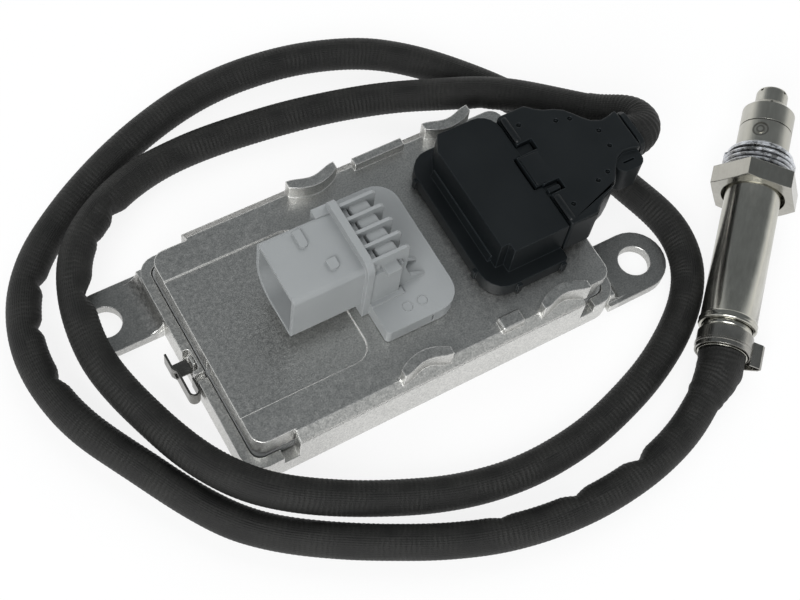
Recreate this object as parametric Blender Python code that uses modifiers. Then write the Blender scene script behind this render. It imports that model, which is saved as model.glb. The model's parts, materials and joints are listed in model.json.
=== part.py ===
"""Nitrogen oxide sensor: a cast control unit, its two plug headers, a sleeved cable and a threaded probe.

Metres, +Z up. The origin is the centre of the control unit's underside. +X runs along the unit, from
the open vehicle socket towards the sensor plug. The probe lies in front, its tip pointing to +X and +Y.
"""

import math

import bmesh
import bpy
import numpy as np
from mathutils import Matrix, Vector

# Fits
GAP = 0.0003
RUNNING_GAP = 0.0004

# Cast housing base
HOUSING_LENGTH = 0.110
HOUSING_WIDTH = 0.0658
HOUSING_CORNER = 0.0055
HOUSING_WALL = 0.0027
HOUSING_FLOOR = 0.0028
RIM_HEIGHT = 0.0090
LONG_WALL_HEIGHT = 0.0134
LONG_WALL_START = -0.0412
LONG_WALL_END = 0.0430
LEDGE_HEIGHT = 0.0065
LEDGE_WIDTH = 0.0025
CORNER_SLOT_WIDTH = 0.0042
CORNER_SLOT_FLOOR = 0.0060

# Mounting tabs, one at each end
TAB_REACH = 0.0126
TAB_RADIUS = 0.0090
TAB_THICKNESS = 0.0030
TAB_HOLE_RADIUS = 0.0045
TAB_FILLET = 0.0042

# Clip pocket in the left rim, with the hook that stands in it, and the slot across the rim beside it
NOTCH_START = -0.0015
NOTCH_END = 0.0047
NOTCH_DEPTH = 0.0019
NOTCH_CORNER = 0.0008
NOTCH_FLOOR = 0.0050
HOOK_PLACE = 0.0009
HOOK_LENGTH = 0.0028
HOOK_WIDTH = 0.0007
CROSS_SLOT_START = -0.0046
CROSS_SLOT_WIDTH = 0.0018
CROSS_SLOT_FLOOR = 0.0072

# Spring clip
CLIP_THICKNESS = 0.0006
CLIP_SPREAD = 0.0026
CLIP_REACH = 0.0084
CLIP_STEP = 0.0008
CLIP_STEP_START = 0.0004
CLIP_STEP_END = 0.0018
CLIP_TOP_END = 0.0062
CLIP_BOTTOM = 0.0036
CLIP_TOP = 0.0088
STRAP_HEIGHT = 0.0064
STRAP_WIDTH = 0.0040

# Cast cover
COVER_PLATE = 0.0024
COVER_SKIRT = 0.0019
COVER_SIDE_CLEARANCE = 0.0006
COVER_CORNER = 0.0036
COVER_OVERHANG = 0.0014
LIP_SLOPE = 0.0027
SEAL_THICKNESS = 0.0022
RECESS_DEPTH = 0.0005
RECESS_END = -0.0141
RECESS_BACK = 0.0212
RECESS_FRONT = -0.0210
RECESS_CORNER = 0.0050
CAST_EDGE = 0.0004

# Cast lugs on the cover
LUG_LENGTH = 0.0142
LUG_END_WIDTH = 0.0021
LUG_BULGE = 0.0024
LUG_HOLLOW = 0.0015
LUG_HEIGHT = 0.0045
LUG_INSET = 0.0024
LUG_CENTRES = (-0.0045, 0.0369)
BAR_START = 0.0080
BAR_LENGTH = 0.0150
BAR_WIDTH = 0.0023
BAR_HEIGHT = 0.0029
BLOCK_START = 0.0182
BLOCK_LENGTH = 0.0066
BLOCK_WIDTH = 0.0039
BLOCK_HEIGHT = 0.0020
FOOT_IN_COVER = 0.0006

# Circuit board, which lies inside the tray's ledge
BOARD_END_CLEARANCE = 0.0018
BOARD_SIDE_CLEARANCE = 0.0017
BOARD_CORNER = 0.0010
BOARD_THICKNESS = 0.0016
BOARD_POST_HEIGHT = 0.0022
BOARD_POST_RADIUS = 0.0025
BOARD_POST_INSET = 0.0040
CHIP_SIDE = 0.0120
CHIP_HEIGHT = 0.0014
CHIP_EDGE = 0.0002
MEASURING_CHIP_SIDE = 0.0090
TRANSISTOR_LENGTH = 0.0065
TRANSISTOR_WIDTH = 0.0060
TRANSISTOR_HEIGHT = 0.0023
CRYSTAL_LENGTH = 0.0050
CRYSTAL_WIDTH = 0.0032
CRYSTAL_HEIGHT = 0.0011
CAPACITOR_RADIUS = 0.0031
CAPACITOR_HEIGHT = 0.0052
CAPACITOR_EDGE = 0.0004

# Places on the board, as shares of its length and width from its middle
PROCESSOR_PLACE = (-0.281, 0.115)
MEASURING_PLACE = (0.135, 0.173)
TRANSISTOR_PLACE = (0.135, -0.250)
CRYSTAL_PLACE = (-0.281, -0.173)
CAPACITOR_PLACE = (-0.417, -0.288)

# White vehicle header
HEADER_FOOT_START = -0.0099
HEADER_FOOT_END = 0.0124
HEADER_FOOT_FRONT = -0.0198
HEADER_FOOT_BACK = 0.0202
HEADER_FOOT_HEIGHT = 0.0048
HEADER_FOOT_CORNER = 0.0065
HEADER_FOOT_SMALL_CORNER = 0.0012
HEADER_FOOT_EDGE = 0.0006
HEADER_FOOT_SINK = 0.0010
HEADER_STEP_END = -0.0004
HEADER_STEP_WIDTH = 0.0010
HEADER_STEP_HEIGHT = 0.0006
HEADER_SLOT_PLACE = 0.0031
HEADER_SLOT_WIDTH = 0.0006
HEADER_SLOT_DEPTH = 0.0010
FLANGE_THICKNESS = 0.0020
FLANGE_FRONT = -0.0105
FLANGE_BACK = 0.0114
FLANGE_TOP = 0.0412
FLANGE_NEAR_CORNER = 0.0036
FLANGE_FAR_CORNER = 0.0018
FLANGE_FOOT_CORNER = 0.0004
FLANGE_EDGE = 0.0004
SOCKET_MOUTH = -0.0316
SOCKET_FRONT = -0.0093
SOCKET_BACK = 0.0098
SOCKET_BOTTOM = 0.0203
SOCKET_TOP = 0.0386
SOCKET_WALL = 0.0013
SOCKET_ROUND = 0.0075
SOCKET_CORNER = 0.0016
SIDE_LUG_LENGTH = 0.0039
SIDE_LUG_REACH = 0.0021
SIDE_LUG_HEIGHT = 0.0060
RAMP_CORNER = 0.0010
RAMP_HEIGHT = 0.0008
RAMPS = (((-0.0231, 0.0030), (-0.0209, 0.0081)), ((-0.0195, -0.0055), (-0.0169, -0.0025)))
CORE_LENGTH = 0.0083
CORE_FRONT_INSET = 0.0003
CORE_BACK_INSET = 0.0018
CORE_TOP = 0.0360
PAD_TOP = 0.0392
PAD_START = 0.0025
PAD_SINK = 0.0022
PAD_EDGE = 0.0009
NEAR_LEDGE_START = -0.0069
NEAR_LEDGE_END = -0.0031
NEAR_LEDGE_REACH = 0.0012
NEAR_LEDGE_TOP = 0.0370
NEAR_LEDGE_HEIGHT = 0.0014
FIN_COUNT = 5
FIN_PITCH = 0.0043
FIN_THICKNESS = 0.0009
FIN_TOP = 0.0408
FIN_REACH = 0.0104
FIN_FLARE = 0.0065

# Blade contacts of the vehicle socket
BLADE_THICKNESS = 0.0008
BLADE_WIDTH = 0.0023
BLADE_TIP = -0.0250
BLADE_SPACING = 0.0084
BLADE_UPPER_ROW = 0.0332
BLADE_LOWER_ROW = 0.0254
BLADE_UPPER_LEG = -0.0052
BLADE_LOWER_LEG = -0.0080

# Black sensor header
SENSOR_FOOT_START = 0.0198
SENSOR_FOOT_END = 0.0430
SENSOR_FOOT_FRONT = -0.0220
SENSOR_FOOT_BACK = 0.0233
SENSOR_FOOT_HEIGHT = 0.0046
SENSOR_FOOT_CORNER = 0.0065
SENSOR_FOOT_SMALL_CORNER = 0.0010
SENSOR_FOOT_EDGE = 0.0006
SNAP_DEPTH = 0.0007
SNAP_WIDTH = 0.0013
SNAP_LIFT = 0.0002
SNAP_DROP = 0.0010
SIDE_SNAPS = (-0.0135, 0.0170)
FRONT_SNAPS = (0.0280, 0.0417)
BOX_START = 0.0243
BOX_END = 0.0433
BOX_TAB_END = 0.0408
BOX_EDGE = 0.0004
BOX_CHAMFER_LENGTH = 0.0025
BOX_CHAMFER_WIDTH = 0.0046
BOX_FILLET_REACH = 0.0012
BOX_FILLET_HEIGHT = 0.0024
BOX_FILLET_INSET = 0.0050
BOX_FRONT = -0.0182
BOX_BACK = 0.0209
BOX_TOP = 0.0317
BOX_WALL = 0.0016
BOX_REAR_WALL = 0.0034
BOX_BACK_ROUND = 0.0057
BOX_SLOT_WIDTH = 0.0024
BOX_SLOT_LENGTH = 0.0026
BOX_HOLLOW_HALF_WIDTH = 0.0150
PIN_SIDE = 0.0006
PIN_COUNT = 8
PIN_PITCH = 0.0024
PIN_TIP = 0.0370
PIN_LEG = 0.0259
PIN_UPPER_ROW = 0.0272
PIN_LOWER_ROW = 0.0222

# Sensor plug
PLUG_CLEARANCE = 0.0006
PLUG_SPIGOT_LENGTH = 0.0040
PLUG_SPIGOT_STEP = 0.0004
PLUG_SETBACK = 0.0012
SEAL_LENGTH = 0.0030
SEAL_SETBACK = 0.0020
SEAL_DEPTH = 0.0010
REAR_START = 0.0436
REAR_BOTTOM = 0.0185
REAR_TOP = 0.0325
REAR_WALL = 0.0018
REAR_HALF_WIDTH = 0.0185
REAR_NECK_HALF_WIDTH = 0.0059
REAR_END_HALF_WIDTH = 0.0066
REAR_NECK_BOTTOM = 0.0196
REAR_EDGE = 0.0012
REAR_TAPER = ((0.0, 1.0), (0.24, 0.74), (0.48, 0.62), (0.70, 0.32), (0.94, 0.0))
REAR_SHOULDER = 0.0520
REAR_NECK_START = 0.0680
REAR_END = 0.0736
NECK_HEIGHT = 0.0260
REAR_TAB_LENGTH = 0.0021
REAR_TAB_DROP = 0.0002
WINDOW_LENGTH = 0.0045
WINDOW_WIDTH = 0.0034
WINDOW_OFFSET = 0.0050
ARM_ROOT = 0.0020
ARM_CLEARANCE = 0.0006
ARM_DROP = 0.0005
LATCH_BAR_WIDTH = 0.0014
LATCH_BAR_HEIGHT = 0.0008
PITS = ((0.0037, 0.0134), (0.0134, 0.0103), (0.0171, 0.0092), (0.0221, 0.0026))
PIT_RADIUS = 0.0007
PIT_DEPTH = 0.0008
BOSS_START = 0.0645
BOSS_END = 0.0728
BOSS_FRONT = -0.0108
BOSS_BOTTOM = 0.0215
BOSS_TOP = 0.0308
BOSS_CORNER = 0.0026
BOSS_SLOT_WIDTH = 0.0005
BOSS_SLOT_LENGTH = 0.0034
BOSS_SLOT_DEPTH = 0.0010
COLLAR_CORNER = 0.0030
COLLAR_EDGE = 0.0006
COLLAR_LENGTH = 0.0016
WIRE_BORE = 0.0040

# Cable
CABLE_DIAMETER = 0.0094
CABLE_POINT_SPACING = 0.0125
SLEEVE_POINT_SPACING = 0.0012
PLEAT_DEPTH = 0.0004
SLEEVE_MOUTH_RADIUS = 0.0060
SLEEVE_TAPER_POINTS = 8
BOOT_RADIUS = 0.0064
BOOT_SECTIONS = 9
BOOT_FULL_SHARE = 0.67

# Probe, measured along its axis from the rear end of its end sleeve
PROBE_START = (0.07035, -0.0600, 0.0074)
PROBE_HEADING = 45.5
PROBE_TILT = 5.16
END_SLEEVE_RADIUS = 0.0067
END_SLEEVE_LENGTH = 0.0075
END_SLEEVE_WALL = 0.0005
BEAD_LENGTH = 0.0021
BEAD_RADIUS = 0.0079
BEAD_EDGE = 0.0004
TUBE_RADIUS = 0.0076
TUBE_WALL = 0.0007
TUBE_LIP_START = 0.0505
TUBE_LIP_END = 0.0520
TUBE_LIP_RADIUS = 0.0084
GROMMET_LENGTH = 0.0120
SLEEVE_GROOVE_WIDTH = 0.0008
SLEEVE_GROOVE_DEPTH = 0.0003
CLAMP_WIDTH = 0.0054
CLAMP_THICKNESS = 0.0005
CLAMP_EAR = 0.0034
CLAMP_EAR_DROP = 0.0030
CLAMP_EAR_OVERHANG = 0.0014
NUT_START = 0.0485
NUT_HEX_LENGTH = 0.0055
NUT_LENGTH = 0.0115
NUT_ACROSS_FLATS = 0.0220
NUT_TURN = 8.0
THREAD_RADIUS = 0.0100
THREAD_CHAMFER = 0.0012
NUT_CHAMFER_INSET = 0.0002
NUT_CHAMFER_RISE = 0.0006
SEAT_LENGTH = 0.0019
SEAT_RADIUS = 0.0092
SEAT_SHOULDER = 0.0009
SHELL_RADIUS = 0.00735
SHELL_BORE = 0.0046
SHELL_REAR = 0.0400
SHELL_END = 0.0697
DIMPLE_PLACE = 0.0665
DIMPLE_RADIUS = 0.0021
DIMPLE_RING = 0.0008
DIMPLE_DEPTH = 0.0003
SHELL_LIP_LENGTH = 0.0030
SHELL_LIP_WIDTH = 0.0014
TIP_SHOULDER = 0.0757
OUTER_TUBE_END = 0.0778
PROTECTION_WALL = 0.0005
TIP_RADIUS = 0.00445
TIP_END = 0.0840
TIP_DOME = 0.45
TIP_HOLE_RADIUS = 0.0005
TIP_HOLE_COUNT = 4
TIP_HOLE_FIRST = 35
SHOULDER_HOLE_COUNT = 6
SHOULDER_HOLE_FIRST = 20
ELEMENT_WIDTH = 0.0040
ELEMENT_THICKNESS = 0.0012
ELEMENT_START = 0.0200
ELEMENT_END = 0.0815
HOLDER_LENGTH = 0.0180
HOLDER_CLEARANCE = 0.0010
POWDER_PLACE = 0.0065
POWDER_LENGTH = 0.0070

# Facets of round pieces
ROUND_SIDES = 40
INNER_SIDES = 24
CORD_BEVEL = 3

# Route of the ribbed sleeve that turns the cable round behind the plug
SLEEVE_ROUTE = (
    (0.0758, 0.0002, 0.0260),
    (0.0774, 0.0002, 0.0260),
    (0.0808, 0.0016, 0.0254),
    (0.0828, 0.0050, 0.0240),
    (0.0822, 0.0090, 0.0219),
    (0.0800, 0.0122, 0.0197),
    (0.0773, 0.0150, 0.0180),
    (0.0755, 0.0168, 0.0173),
)

# Route of the free cable, from the sleeve's end to the boot at the probe
CABLE_ROUTE = (
    (0.0751, 0.0172, 0.0171),
    (0.0692, 0.0234, 0.0158),
    (0.0570, 0.0345, 0.0140),
    (0.0440, 0.0437, 0.0100),
    (0.0290, 0.0520, 0.0062),
    (0.0090, 0.0575, 0.0050),
    (-0.0170, 0.0605, 0.0050),
    (-0.0380, 0.0588, 0.0068),
    (-0.0550, 0.0515, 0.0096),
    (-0.0665, 0.0420, 0.0098),
    (-0.0725, 0.0290, 0.0088),
    (-0.0742, 0.0120, 0.0082),
    (-0.0700, -0.0070, 0.0084),
    (-0.0638, -0.0242, 0.0101),
    (-0.0532, -0.0388, 0.0113),
    (-0.0400, -0.0472, 0.0090),
    (-0.0240, -0.0545, 0.0062),
    (-0.0030, -0.0612, 0.0050),
    (0.0210, -0.0623, 0.0048),
    (0.0450, -0.0567, 0.0048),
    (0.0660, -0.0462, 0.0048),
    (0.0786, -0.0330, 0.0048),
    (0.0818, -0.0200, 0.0048),
    (0.0786, -0.0050, 0.0048),
    (0.0745, 0.0110, 0.0048),
    (0.0690, 0.0280, 0.0048),
    (0.0560, 0.0485, 0.0048),
    (0.0370, 0.0665, 0.0048),
    (0.0120, 0.0756, 0.0048),
    (-0.0140, 0.0765, 0.0048),
    (-0.0400, 0.0695, 0.0048),
    (-0.0642, 0.0570, 0.0048),
    (-0.0810, 0.0420, 0.0048),
    (-0.0880, 0.0230, 0.0048),
    (-0.0860, 0.0030, 0.0048),
    (-0.0770, -0.0165, 0.0048),
    (-0.0624, -0.0408, 0.0048),
    (-0.0385, -0.0590, 0.0048),
    (-0.0120, -0.0721, 0.0048),
    (0.0202, -0.0777, 0.0048),
    (0.0430, -0.0748, 0.0050),
    (0.0525, -0.0714, 0.0052),
    (0.0600, -0.0674, 0.0060),
)

# Sizes that follow from the ones above
HALF_LENGTH = HOUSING_LENGTH / 2
HALF_WIDTH = HOUSING_WIDTH / 2
SKIRT_BOTTOM = LEDGE_HEIGHT + SEAL_THICKNESS + 2 * GAP
LIP_BOTTOM = LONG_WALL_HEIGHT + GAP
COVER_TOP = LIP_BOTTOM + COVER_PLATE
HEADER_BOTTOM = COVER_TOP + GAP
COVER_HALF_LENGTH = HALF_LENGTH - HOUSING_WALL - COVER_SIDE_CLEARANCE
COVER_HALF_WIDTH = HALF_WIDTH - HOUSING_WALL - COVER_SIDE_CLEARANCE
TAB_HOLE_X = HALF_LENGTH + TAB_REACH
TAB_HOLE_Y = HALF_WIDTH - TAB_RADIUS
TRAY_WALL = HOUSING_WALL + LEDGE_WIDTH
BOARD_LENGTH = HOUSING_LENGTH - 2 * TRAY_WALL - 2 * BOARD_END_CLEARANCE
BOARD_WIDTH = HOUSING_WIDTH - 2 * TRAY_WALL - 2 * BOARD_SIDE_CLEARANCE
BOARD_BOTTOM = HOUSING_FLOOR + BOARD_POST_HEIGHT + GAP
BOARD_TOP = BOARD_BOTTOM + BOARD_THICKNESS
PIN_FOOT = BOARD_BOTTOM
CABLE_RADIUS = CABLE_DIAMETER / 2
FLANGE_START = HEADER_FOOT_START - FLANGE_THICKNESS
TUBE_START = END_SLEEVE_LENGTH + GAP
TUBE_BORE = TUBE_RADIUS - TUBE_WALL
NUT_END = NUT_START + NUT_LENGTH
SEAT_START = NUT_END + GAP

MODEL = bpy.data.collections.new("nitrogen_oxide_sensor")
TOOLS = bpy.data.collections.new("cutters")


class Finish:
    """A plain surface: its colour, roughness and metallic value."""

    def __init__(self, name, colour, roughness, metallic):
        self.material = bpy.data.materials.new(name)
        self.material.use_nodes = True
        shader = self.material.node_tree.nodes["Principled BSDF"]
        shader.inputs["Base Color"].default_value = (*colour, 1.0)
        shader.inputs["Roughness"].default_value = roughness
        shader.inputs["Metallic"].default_value = metallic


def clear_scene():
    """Removes what the scene holds and links this model's collections."""
    for item in list(bpy.data.objects):
        bpy.data.objects.remove(item)
    bpy.context.scene.collection.children.link(MODEL)
    bpy.context.scene.collection.children.link(TOOLS)


def add_object(name, mesh, place=None):
    """Links a mesh as a new object of the model, at the matrix place."""
    item = bpy.data.objects.new(name, mesh)
    MODEL.objects.link(item)
    item.matrix_world = place if place else Matrix.Identity(4)
    return item


def dress(item, finish, smooth=False):
    """Gives an object its finish, and shades its round faces smooth."""
    item.data.materials.append(finish.material)
    if smooth:
        item.data.shade_smooth()
        item.data.set_sharp_from_angle(angle=math.radians(32))
    return item


def as_tool(item):
    """Moves an object to the cutters, which aren't part of the model."""
    MODEL.objects.unlink(item)
    TOOLS.objects.link(item)
    item.hide_render = True
    item.display_type = "WIRE"


def combine(item, tool, operation):
    """Adds a Boolean of the given operation with tool, which becomes a cutter."""
    as_tool(tool)
    change = item.modifiers.new(operation.lower(), "BOOLEAN")
    change.operation = operation
    change.object = tool


def cut(item, tool):
    """Cuts tool out of item."""
    combine(item, tool, "DIFFERENCE")


def fuse(item, tool):
    """Joins tool to item as one body."""
    combine(item, tool, "UNION")


def round_edges(item, width, segments=2, angle=40):
    """Rounds every edge of item that is sharper than angle."""
    change = item.modifiers.new("rounded edges", "BEVEL")
    change.width = width
    change.segments = segments
    change.limit_method = "ANGLE"
    change.angle_limit = math.radians(angle)


def arc(centre, radius, start, end, steps):
    """Points on an arc in a plane, from the angle start to end in degrees."""
    angles = [math.radians(start + (end - start) * i / steps) for i in range(steps + 1)]
    return [(centre[0] + radius * math.cos(a), centre[1] + radius * math.sin(a)) for a in angles]


def rounded(low, high, radii, steps=5):
    """Outline of a rectangle whose corners have radii: low-low, high-low, high-high, low-high."""
    first, second, third, fourth = radii
    return (
        arc((low[0] + first, low[1] + first), first, 180, 270, steps)
        + arc((high[0] - second, low[1] + second), second, 270, 360, steps)
        + arc((high[0] - third, high[1] - third), third, 0, 90, steps)
        + arc((low[0] + fourth, high[1] - fourth), fourth, 90, 180, steps)
    )


def ribbon(path, thickness):
    """Outline of a strip of even thickness that follows path in its plane."""
    left, right = [], []
    for index, point in enumerate(path):
        before = Vector(path[max(index - 1, 0)])
        after = Vector(path[min(index + 1, len(path) - 1)])
        along = (after - before).normalized()
        side = Vector((-along.y, along.x)) * thickness / 2
        left.append(tuple(Vector(point) + side))
        right.append(tuple(Vector(point) - side))
    return left + right[::-1]


def slab(name, outline, bottom, top, place=None):
    """A flat outline raised from bottom to top, as a closed mesh, in the frame place."""
    curve = bpy.data.curves.new(name, "CURVE")
    curve.dimensions = "2D"
    curve.fill_mode = "BOTH"
    curve.extrude = (top - bottom) / 2
    line = curve.splines.new("POLY")
    line.points.add(len(outline) - 1)
    for point, corner in zip(line.points, outline):
        point.co = (corner[0], corner[1], 0.0, 1.0)
    line.use_cyclic_u = True
    frame = place if place else Matrix.Identity(4)
    return solid_from_curve(name, curve, frame @ Matrix.Translation((0, 0, (bottom + top) / 2)))


def solid_from_curve(name, curve, place):
    """Turns a curve into a mesh object whose caps are welded to its sides."""
    guide = bpy.data.objects.new(name + " guide", curve)
    bpy.context.scene.collection.objects.link(guide)
    guide.matrix_world = place
    bpy.context.view_layer.update()
    mesh = bpy.data.meshes.new_from_object(guide.evaluated_get(bpy.context.evaluated_depsgraph_get()))
    shape = bmesh.new()
    shape.from_mesh(mesh)
    bmesh.ops.remove_doubles(shape, verts=shape.verts, dist=0.000001)
    bmesh.ops.recalc_face_normals(shape, faces=shape.faces)
    shape.to_mesh(mesh)
    shape.free()
    mesh.name = name
    item = add_object(name, mesh, guide.matrix_world.copy())
    bpy.data.objects.remove(guide)
    return item


def along_x(outline_yz):
    """Outline and frame of a prism that runs along X, its outline given as (y, z)."""
    return outline_yz, Matrix(((0, 0, 1, 0), (1, 0, 0, 0), (0, 1, 0, 0), (0, 0, 0, 1)))


def along_y(outline_xz):
    """Outline and frame of a prism that runs along Y, its outline given as (x, z)."""
    turned = [(z, x) for x, z in outline_xz]
    return turned, Matrix(((0, 1, 0, 0), (0, 0, 1, 0), (1, 0, 0, 0), (0, 0, 0, 1)))


def prism_x(name, outline_yz, start, end):
    """A prism between two X positions."""
    outline, frame = along_x(outline_yz)
    return slab(name, outline, start, end, frame)


def prism_y(name, outline_xz, start, end):
    """A prism between two Y positions."""
    outline, frame = along_y(outline_xz)
    return slab(name, outline, start, end, frame)


def block(name, low, high, place=None):
    """A box between two opposite corners."""
    mesh = bpy.data.meshes.new(name)
    shape = bmesh.new()
    bmesh.ops.create_cube(shape, size=1.0)
    size = [b - a for a, b in zip(low, high)]
    bmesh.ops.scale(shape, vec=size, verts=shape.verts)
    shape.to_mesh(mesh)
    shape.free()
    middle = Matrix.Translation([(a + b) / 2 for a, b in zip(low, high)])
    frame = place if place else Matrix.Identity(4)
    return add_object(name, mesh, frame @ middle)


def rod(name, radius, bottom, top, place=None, sides=INNER_SIDES):
    """A cylinder along the Z axis of the frame place."""
    mesh = bpy.data.meshes.new(name)
    shape = bmesh.new()
    bmesh.ops.create_cone(
        shape, cap_ends=True, segments=sides, radius1=radius, radius2=radius, depth=top - bottom
    )
    shape.to_mesh(mesh)
    shape.free()
    frame = place if place else Matrix.Identity(4)
    return add_object(name, mesh, frame @ Matrix.Translation((0, 0, (bottom + top) / 2)))


def turned(name, profile, place=None, sides=ROUND_SIDES):
    """A turned piece: its profile (radius, height) goes once round Z, down its outer side first."""
    mesh = bpy.data.meshes.new(name)
    corners = [(r, 0.0, z) for r, z in profile]
    closed = profile[0][0] > 0 or profile[-1][0] > 0
    edges = [(i, i + 1) for i in range(len(corners) - 1)]
    if closed:
        edges.append((len(corners) - 1, 0))
    mesh.from_pydata(corners, edges, [])
    item = add_object(name, mesh, place)
    spin = item.modifiers.new("turned", "SCREW")
    spin.axis = "Z"
    spin.steps = sides
    spin.render_steps = sides
    spin.use_merge_vertices = True
    spin.merge_threshold = 0.000001
    spin.use_smooth_shade = True
    return item


def ring(name, outer, inner, bottom, top, place=None, sides=ROUND_SIDES):
    """A plain ring or tube."""
    return turned(name, [(outer, top), (outer, bottom), (inner, bottom), (inner, top)], place, sides)


def smooth_path(route, spacing):
    """Evenly spaced points on the natural cubic curve through the points of route."""
    knots = np.array(route)
    steps = np.linalg.norm(np.diff(knots, axis=0), axis=1)
    reach = np.concatenate(([0.0], np.cumsum(steps)))
    count = len(knots)
    matrix = np.eye(count)
    target = np.zeros((count, 3))
    for i in range(1, count - 1):
        matrix[i, i - 1] = steps[i - 1]
        matrix[i, i] = 2 * (steps[i - 1] + steps[i])
        matrix[i, i + 1] = steps[i]
        rise = (knots[i + 1] - knots[i]) / steps[i] - (knots[i] - knots[i - 1]) / steps[i - 1]
        target[i] = 6 * rise
    bend = np.linalg.solve(matrix, target)
    fine = []
    for i in range(count - 1):
        for t in np.linspace(0.0, steps[i], 24, endpoint=False):
            left = steps[i] - t
            curve = (bend[i] * left**3 + bend[i + 1] * t**3) / (6 * steps[i])
            start = (knots[i] / steps[i] - bend[i] * steps[i] / 6) * left
            end = (knots[i + 1] / steps[i] - bend[i + 1] * steps[i] / 6) * t
            fine.append(curve + start + end)
    fine.append(knots[-1])
    fine = np.array(fine)
    travel = np.concatenate(([0.0], np.cumsum(np.linalg.norm(np.diff(fine, axis=0), axis=1))))
    pieces = max(int(round(travel[-1] / spacing)), 3)
    wanted = np.linspace(0.0, travel[-1], pieces + 1)
    return [tuple(np.interp(w, travel, fine[:, k]) for k in range(3)) for w in wanted]


def tube(name, points, radii):
    """A solid round cord through points, with a radius at each of them and flat ends."""
    curve = bpy.data.curves.new(name, "CURVE")
    curve.dimensions = "3D"
    curve.bevel_depth = 1.0
    curve.bevel_resolution = CORD_BEVEL
    curve.use_fill_caps = True
    line = curve.splines.new("POLY")
    line.points.add(len(points) - 1)
    for point, place, radius in zip(line.points, points, radii):
        point.co = (*place, 1.0)
        point.radius = radius
    return solid_from_curve(name, curve, Matrix.Identity(4))


def inner_outline(inset):
    """Outline of the housing moved inwards, with the corners of the rim's inner face."""
    low = (-HALF_LENGTH + inset, -HALF_WIDTH + inset)
    high = (HALF_LENGTH - inset, HALF_WIDTH - inset)
    return rounded(low, high, [HOUSING_CORNER - HOUSING_WALL] * 4)


def build_base(finish):
    """The cast tray with its stepped rim, two tabs, corner slots, board posts and clip hook."""
    corner = [HOUSING_CORNER] * 4
    low, high = (-HALF_LENGTH, -HALF_WIDTH), (HALF_LENGTH, HALF_WIDTH)
    base = slab("housing_base", rounded(low, high, corner), 0.0, LONG_WALL_HEIGHT)
    for side in (-1, 1):
        add_tab(base, side)
    over = 2 * LONG_WALL_HEIGHT
    wide = 2 * HALF_WIDTH
    left_low, left_high = (-HALF_LENGTH - over, -wide, RIM_HEIGHT), (LONG_WALL_START, wide, over)
    cut(base, block("left rim step", left_low, left_high))
    right_low, right_high = (LONG_WALL_END, -wide, RIM_HEIGHT), (HALF_LENGTH + over, wide, over)
    cut(base, block("right rim step", right_low, right_high))
    cut(base, slab("rim hollow", inner_outline(HOUSING_WALL), LEDGE_HEIGHT, over))
    cut(base, slab("tray hollow", inner_outline(TRAY_WALL), HOUSING_FLOOR, over))
    cut_corner_slots(base)
    add_board_posts(base)
    cut_clip_notch(base)
    return dress(base, finish)


def add_tab(base, side):
    """A flat mounting tab with a round end, its hole and the fillet that carries it."""
    hole = (side * TAB_HOLE_X, -side * TAB_HOLE_Y)
    root = side * (HALF_LENGTH - HOUSING_WALL / 2)
    end = arc(hole, TAB_RADIUS, -90, 90, 14)
    if side < 0:
        end = arc(hole, TAB_RADIUS, 90, 270, 14)
    outline = end + [(root, end[-1][1]), (root, end[0][1])]
    fuse(base, slab("tab", outline, 0.0, TAB_THICKNESS))
    wall = side * HALF_LENGTH
    middle = (wall + side * TAB_FILLET, TAB_THICKNESS + TAB_FILLET)
    quarter = arc(middle, TAB_FILLET, 270, 180 if side > 0 else 360, 5)
    heel = [(root, TAB_THICKNESS + TAB_FILLET), (root, TAB_THICKNESS / 2)]
    toe = [(wall + side * TAB_FILLET, TAB_THICKNESS / 2)]
    inner = hole[1] - side * TAB_RADIUS * 0.86
    outer = hole[1] + side * TAB_RADIUS * 0.96
    fuse(base, prism_y("tab fillet", quarter + heel + toe, min(inner, outer), max(inner, outer)))
    drill = Matrix.Translation((hole[0], hole[1], 0))
    cut(base, rod("tab hole", TAB_HOLE_RADIUS, -TAB_THICKNESS, 2 * TAB_THICKNESS, drill, ROUND_SIDES))


def cut_corner_slots(base):
    """The four open slots between the low corner rims and the long walls."""
    places = (
        (LONG_WALL_START - CORNER_SLOT_WIDTH, LONG_WALL_START),
        (LONG_WALL_END, LONG_WALL_END + CORNER_SLOT_WIDTH),
    )
    inner = HALF_WIDTH - HOUSING_WALL - LEDGE_WIDTH / 2
    outer = HALF_WIDTH + HOUSING_WALL
    for start, end in places:
        for side in (-1, 1):
            low_y, high_y = sorted((side * inner, side * outer))
            slot_low, slot_high = (start, low_y, CORNER_SLOT_FLOOR), (end, high_y, 2 * RIM_HEIGHT)
            cut(base, block("corner slot", slot_low, slot_high))


def add_board_posts(base):
    """Four round posts on the floor that carry the circuit board."""
    for x in (-1, 1):
        for y in (-1, 1):
            place = Matrix.Translation(
                (x * (BOARD_LENGTH / 2 - BOARD_POST_INSET), y * (BOARD_WIDTH / 2 - BOARD_POST_INSET), 0)
            )
            top = HOUSING_FLOOR + BOARD_POST_HEIGHT
            fuse(base, rod("board post", BOARD_POST_RADIUS, HOUSING_FLOOR / 2, top, place))


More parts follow.
